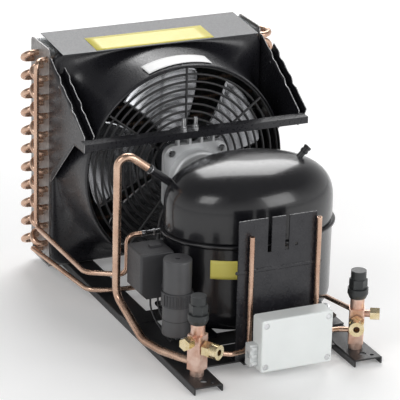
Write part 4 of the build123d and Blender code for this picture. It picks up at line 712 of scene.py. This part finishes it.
# %% Both cheeks, with bare cut edges that also carry a painted highlight
for side, node in (("left", "side_cheek_left"), ("right", "side_cheek_right")):
    low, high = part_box(node)
    plate_x = low.x + sheet / 2
    lip_x = high.x - sheet / 2
    parts = [panel(plate_x), arm_floor(plate_x, lip_x - plate_x), arm_wall(lip_x)]
    cheek = piece(f"cheek_{side}", joined(parts), look["shroud_paint"],
                  instead_of=[node])
    cheek.data.materials.append(bare_edge_and_highlight)
    # The sheet's rim takes the pale edge finish: bare metal, and a painted highlight along the edges.
    with_wall(cheek, sheet, 0).material_offset_rim = 1

# %% [markdown]
# ## Fan guard, blades and fins
#
# The guard is welded from round wire. Curves with a bevel would do, but a torus for each ring and
# a bar for each strut come straight from the two helpers above.

# %% Guard wires
wire = 1.6 * MM
guard_y = guard_high.y - wire
inner_ring = 0.044
ring_radii = np.linspace(inner_ring, guard_high.x - axis_x - wire, 10)
guard_centre = (axis_x, guard_y, axis_z)
wires = [wire_ring(guard_centre, (0, 1, 0), radius, wire) for radius in ring_radii]
strut_y = guard_low.y + wire
for angle in np.radians([90, 38, 142, 232, 308]):
    spoke_way = np.array([cos(angle), 0, sin(angle)])
    hub = np.array([axis_x, strut_y, axis_z])
    wires.append(bar(hub + spoke_way * ring_radii[0], hub + spoke_way * ring_radii[-1], wire))
piece("guard_wires", joined(wires), look["guard_wire"], instead_of=["fan_guard"],
      crease=60)

# %% [markdown]
# The blades are sheet, twisted and cambered. A bent plane would need several modifiers in the
# right order. A grid in radius and angle, lifted by a formula, shows twist and camber at once.

# %% One fan blade
blade_low, blade_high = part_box("fan_blades")
blade_middle = (blade_low.y + blade_high.y) / 2
blade_reach = blade_high.z - axis_z
blade_root = 0.030


root_pitch, pitch_fall = 33, 21
camber = 3.5 * MM
rounding = 6


def blade(angle, count_out=22, count_across=22):
    """Blade grid: the half width grows with the radius, the height follows the pitch and a bulge."""
    out = np.linspace(0, 1, count_out)[:, None]
    across = np.linspace(-1, 1, count_across)[None, :]
    corner = np.abs(across) ** rounding
    half_angle = radians(26) + radians(4) * out - radians(3) * corner * out ** rounding
    length = blade_reach - 0.5 * MM - blade_root
    radius = blade_root + length * out * (1 - 0.035 * corner * out ** 4)
    around = angle + half_angle * across + radians(8) * out ** 2
    slope = 0.62 * np.tan(np.radians(root_pitch - pitch_fall * out))
    lift = camber * (1 - across ** 2) * out - radius * half_angle * across * slope
    lift = np.clip(lift, blade_low.y - blade_middle + MM, blade_high.y - blade_middle - MM)
    x = axis_x + radius * np.cos(around)
    z = axis_z + radius * np.sin(around)
    return skin(np.stack([x, blade_middle + lift, z], axis=-1))


print("blade from", blade_root, "to", round(blade_reach, 4))

# %% All blades and their hub plate
blade_count = 5
blade_turn = radians(24)
blades = piece("fan_sheet_blades",
               joined([blade(blade_turn + 2 * pi / blade_count * i) for i in range(blade_count)]),
               look["blade_aluminium"], body="fan", instead_of=["fan_blades"])
with_wall(blades, 0.9 * MM, 0)
half_plate = 0.6 * MM
plate = [(0.0045, -half_plate), (0.033, -half_plate), (0.0345, 0), (0.033, half_plate), (0.0045, half_plate)]
piece("fan_plate", turned(plate, (axis_x, blade_middle, axis_z), (0, 1, 0)), look["blade_aluminium"],
      body="fan")

# %% [markdown]
# The coil has a fin every two and a half millimetres. An array modifier could repeat one, but
# plain copies in one mesh are as light, and each fin has only sixteen corners.

# %% Coil fins
fin_low, fin_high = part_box("fin_pack")
fin_count = 118
fin_thickness = 0.22 * MM
first_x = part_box("end_plate_left")[1].x + 1.5 * MM
last_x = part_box("end_plate_right")[0].x - 1.5 * MM
fin_x = np.linspace(first_x, last_x, fin_count)
one_fin = stack(rounded_box(fin_high.y - fin_low.y, fin_high.z - fin_low.z, 0.001, 2),
                [(0, -fin_thickness / 2), (0, fin_thickness / 2)],
                (0, (fin_low.y + fin_high.y) / 2, (fin_low.z + fin_high.z) / 2), (1, 0, 0), (0, 1, 0))
piece("close_fins", copies(one_fin, [(x, 0, 0) for x in fin_x]), look["fin_aluminium"],
      instead_of=["fin_pack"])

# %% [markdown]
# ## Small parts
#
# What is left is small, and each piece is worked out from the box of the node that it sits on.
# The label on the cover has to follow the sheet's fold. It could be shrink-wrapped. Here a plumb
# line is dropped on the cover for each row of the patch, which needs no modifier.

# %% Label on the cover
cover = frame["nodes"]["top_cover"]


def cover_height(x, y):
    """Where a plumb line meets the cover."""
    found, place, normal, face = cover.ray_cast(Vector((x, y, 0.5)), Vector((0, 0, -1)))
    return place.z


label_x = np.linspace(-0.094, 0.069, 12)
label_y = np.linspace(0.152, 0.195, 8)
heights = np.array([cover_height(0, y) for y in label_y])
cover_grid = np.stack([label_x[:, None] + 0 * label_y, label_y + 0 * label_x[:, None],
                       heights + 0.2 * MM + 0 * label_x[:, None]], axis=-1)
cover_label = piece("cover_label", skin(cover_grid), yellow_label)
with_wall(cover_label, 0.15 * MM, 0)

# %% [markdown]
# A rib is pressed into the bracket to stiffen it. A displaced grid would need a very fine plate.
# A low rounded bar on the plate's face shows the same step.

# %% Bracket rib
plate_low, plate_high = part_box("control_bracket")
rib_width, rib_length, rib_corner = 0.0046, 0.114, 0.0022
rib_place = (plate_low.x + 0.0535, plate_low.y + 0.2 * MM, plate_high.z - 0.065)
rib = stack(rounded_box(rib_width, rib_length, rib_corner), [(0, 0), (0, 0.6 * MM), (0.8 * MM, 1.2 * MM)],
            rib_place, (0, -1, 0))
piece("bracket_rib", rib, look["bracket_paint"])

# %% [markdown]
# The capacitor sits in a plastic clamp with upright grip ribs, and its case has a seam. One small
# rounded bar is set round the clamp again and again, and the seam is a thin turned ring.

# %% Ribs of the capacitor clamp
can_low, can_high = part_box("start_capacitor")
can = ((can_low.x + can_high.x) / 2, (can_low.y + can_high.y) / 2)
can_radius = (can_high.x - can_low.x) / 2
clamp_radius = can_radius + 1.9 * MM
clamp_bottom, clamp_height = 0.072, 0.014
rib_ends = [(0.4 * MM, 0), (0, 0.5 * MM), (0, clamp_height - 0.5 * MM), (0.4 * MM, clamp_height)]
ribs = []
for angle in np.radians(np.arange(-165, 16, 12)):
    way = np.array([cos(angle), sin(angle), 0])
    spot = np.array([can[0], can[1], clamp_bottom]) + way * clamp_radius
    ribs.append(stack(rounded_box(0.0016, 0.0018, 0.0006, 3), rib_ends, spot, (0, 0, 1), way))
piece("clamp_ribs", joined(ribs), look["starter_plastic"])
seam_inside, seam_outside = can_radius - MM, can_radius + 0.25 * MM
seam_profile = [(seam_inside, 0), (seam_outside, 0.1 * MM),
                (seam_outside, 0.7 * MM), (seam_inside, 0.8 * MM)]
seam_ring = turned(seam_profile, (can[0], can[1], 0.0515), (0, 0, 1))
piece("capacitor_seam", seam_ring, look["cable_sheath"])

# %% [markdown]
# Three small clips hold the cable clamp shut. They are the same rounded block at three heights.

# %% Clips of the cable clamp
gland_low, gland_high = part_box("cable_entry")
clip_outline = rounded_box(0.0085, 0.0046, 0.0012, 4)
clip_profile = [(0, 0), (0, 1.6 * MM), (0.8 * MM, 2.6 * MM)]
clip_x = (gland_low.x + gland_high.x) / 2
clips = [stack(clip_outline, clip_profile, (clip_x, gland_low.y + 0.2 * MM, height), (0, -1, 0), (1, 0, 0))
         for height in (0.0205, 0.030, 0.0395)]
piece("clamp_clips", joined(clips), look["gland_plastic"])

# %% [markdown]
# Pan-head screws fix the cheeks: one profile of radius and height in millimetres, turned about X
# and set down once for each screw.

# %% Screws of the cheeks
screw = [(0.4, 0), (4.6, 0), (4.6, 0.8), (3.6, 2.0), (1.4, 2.4), (0.4, 2.4)]
screw = [(radius * MM, height * MM) for radius, height in screw]
left_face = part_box("side_cheek_left")[0].x + sheet
right_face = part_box("side_cheek_right")[0].x + sheet
screw_places = [(left_face, 0.150, 0.280), (right_face, 0.150, 0.280), (right_face, 0.056, 0.227)]
screws = [turned(screw, place, (1, 0, 0), 24) for place in screw_places]
piece("cheek_screws", joined(screws), look["zinc"])
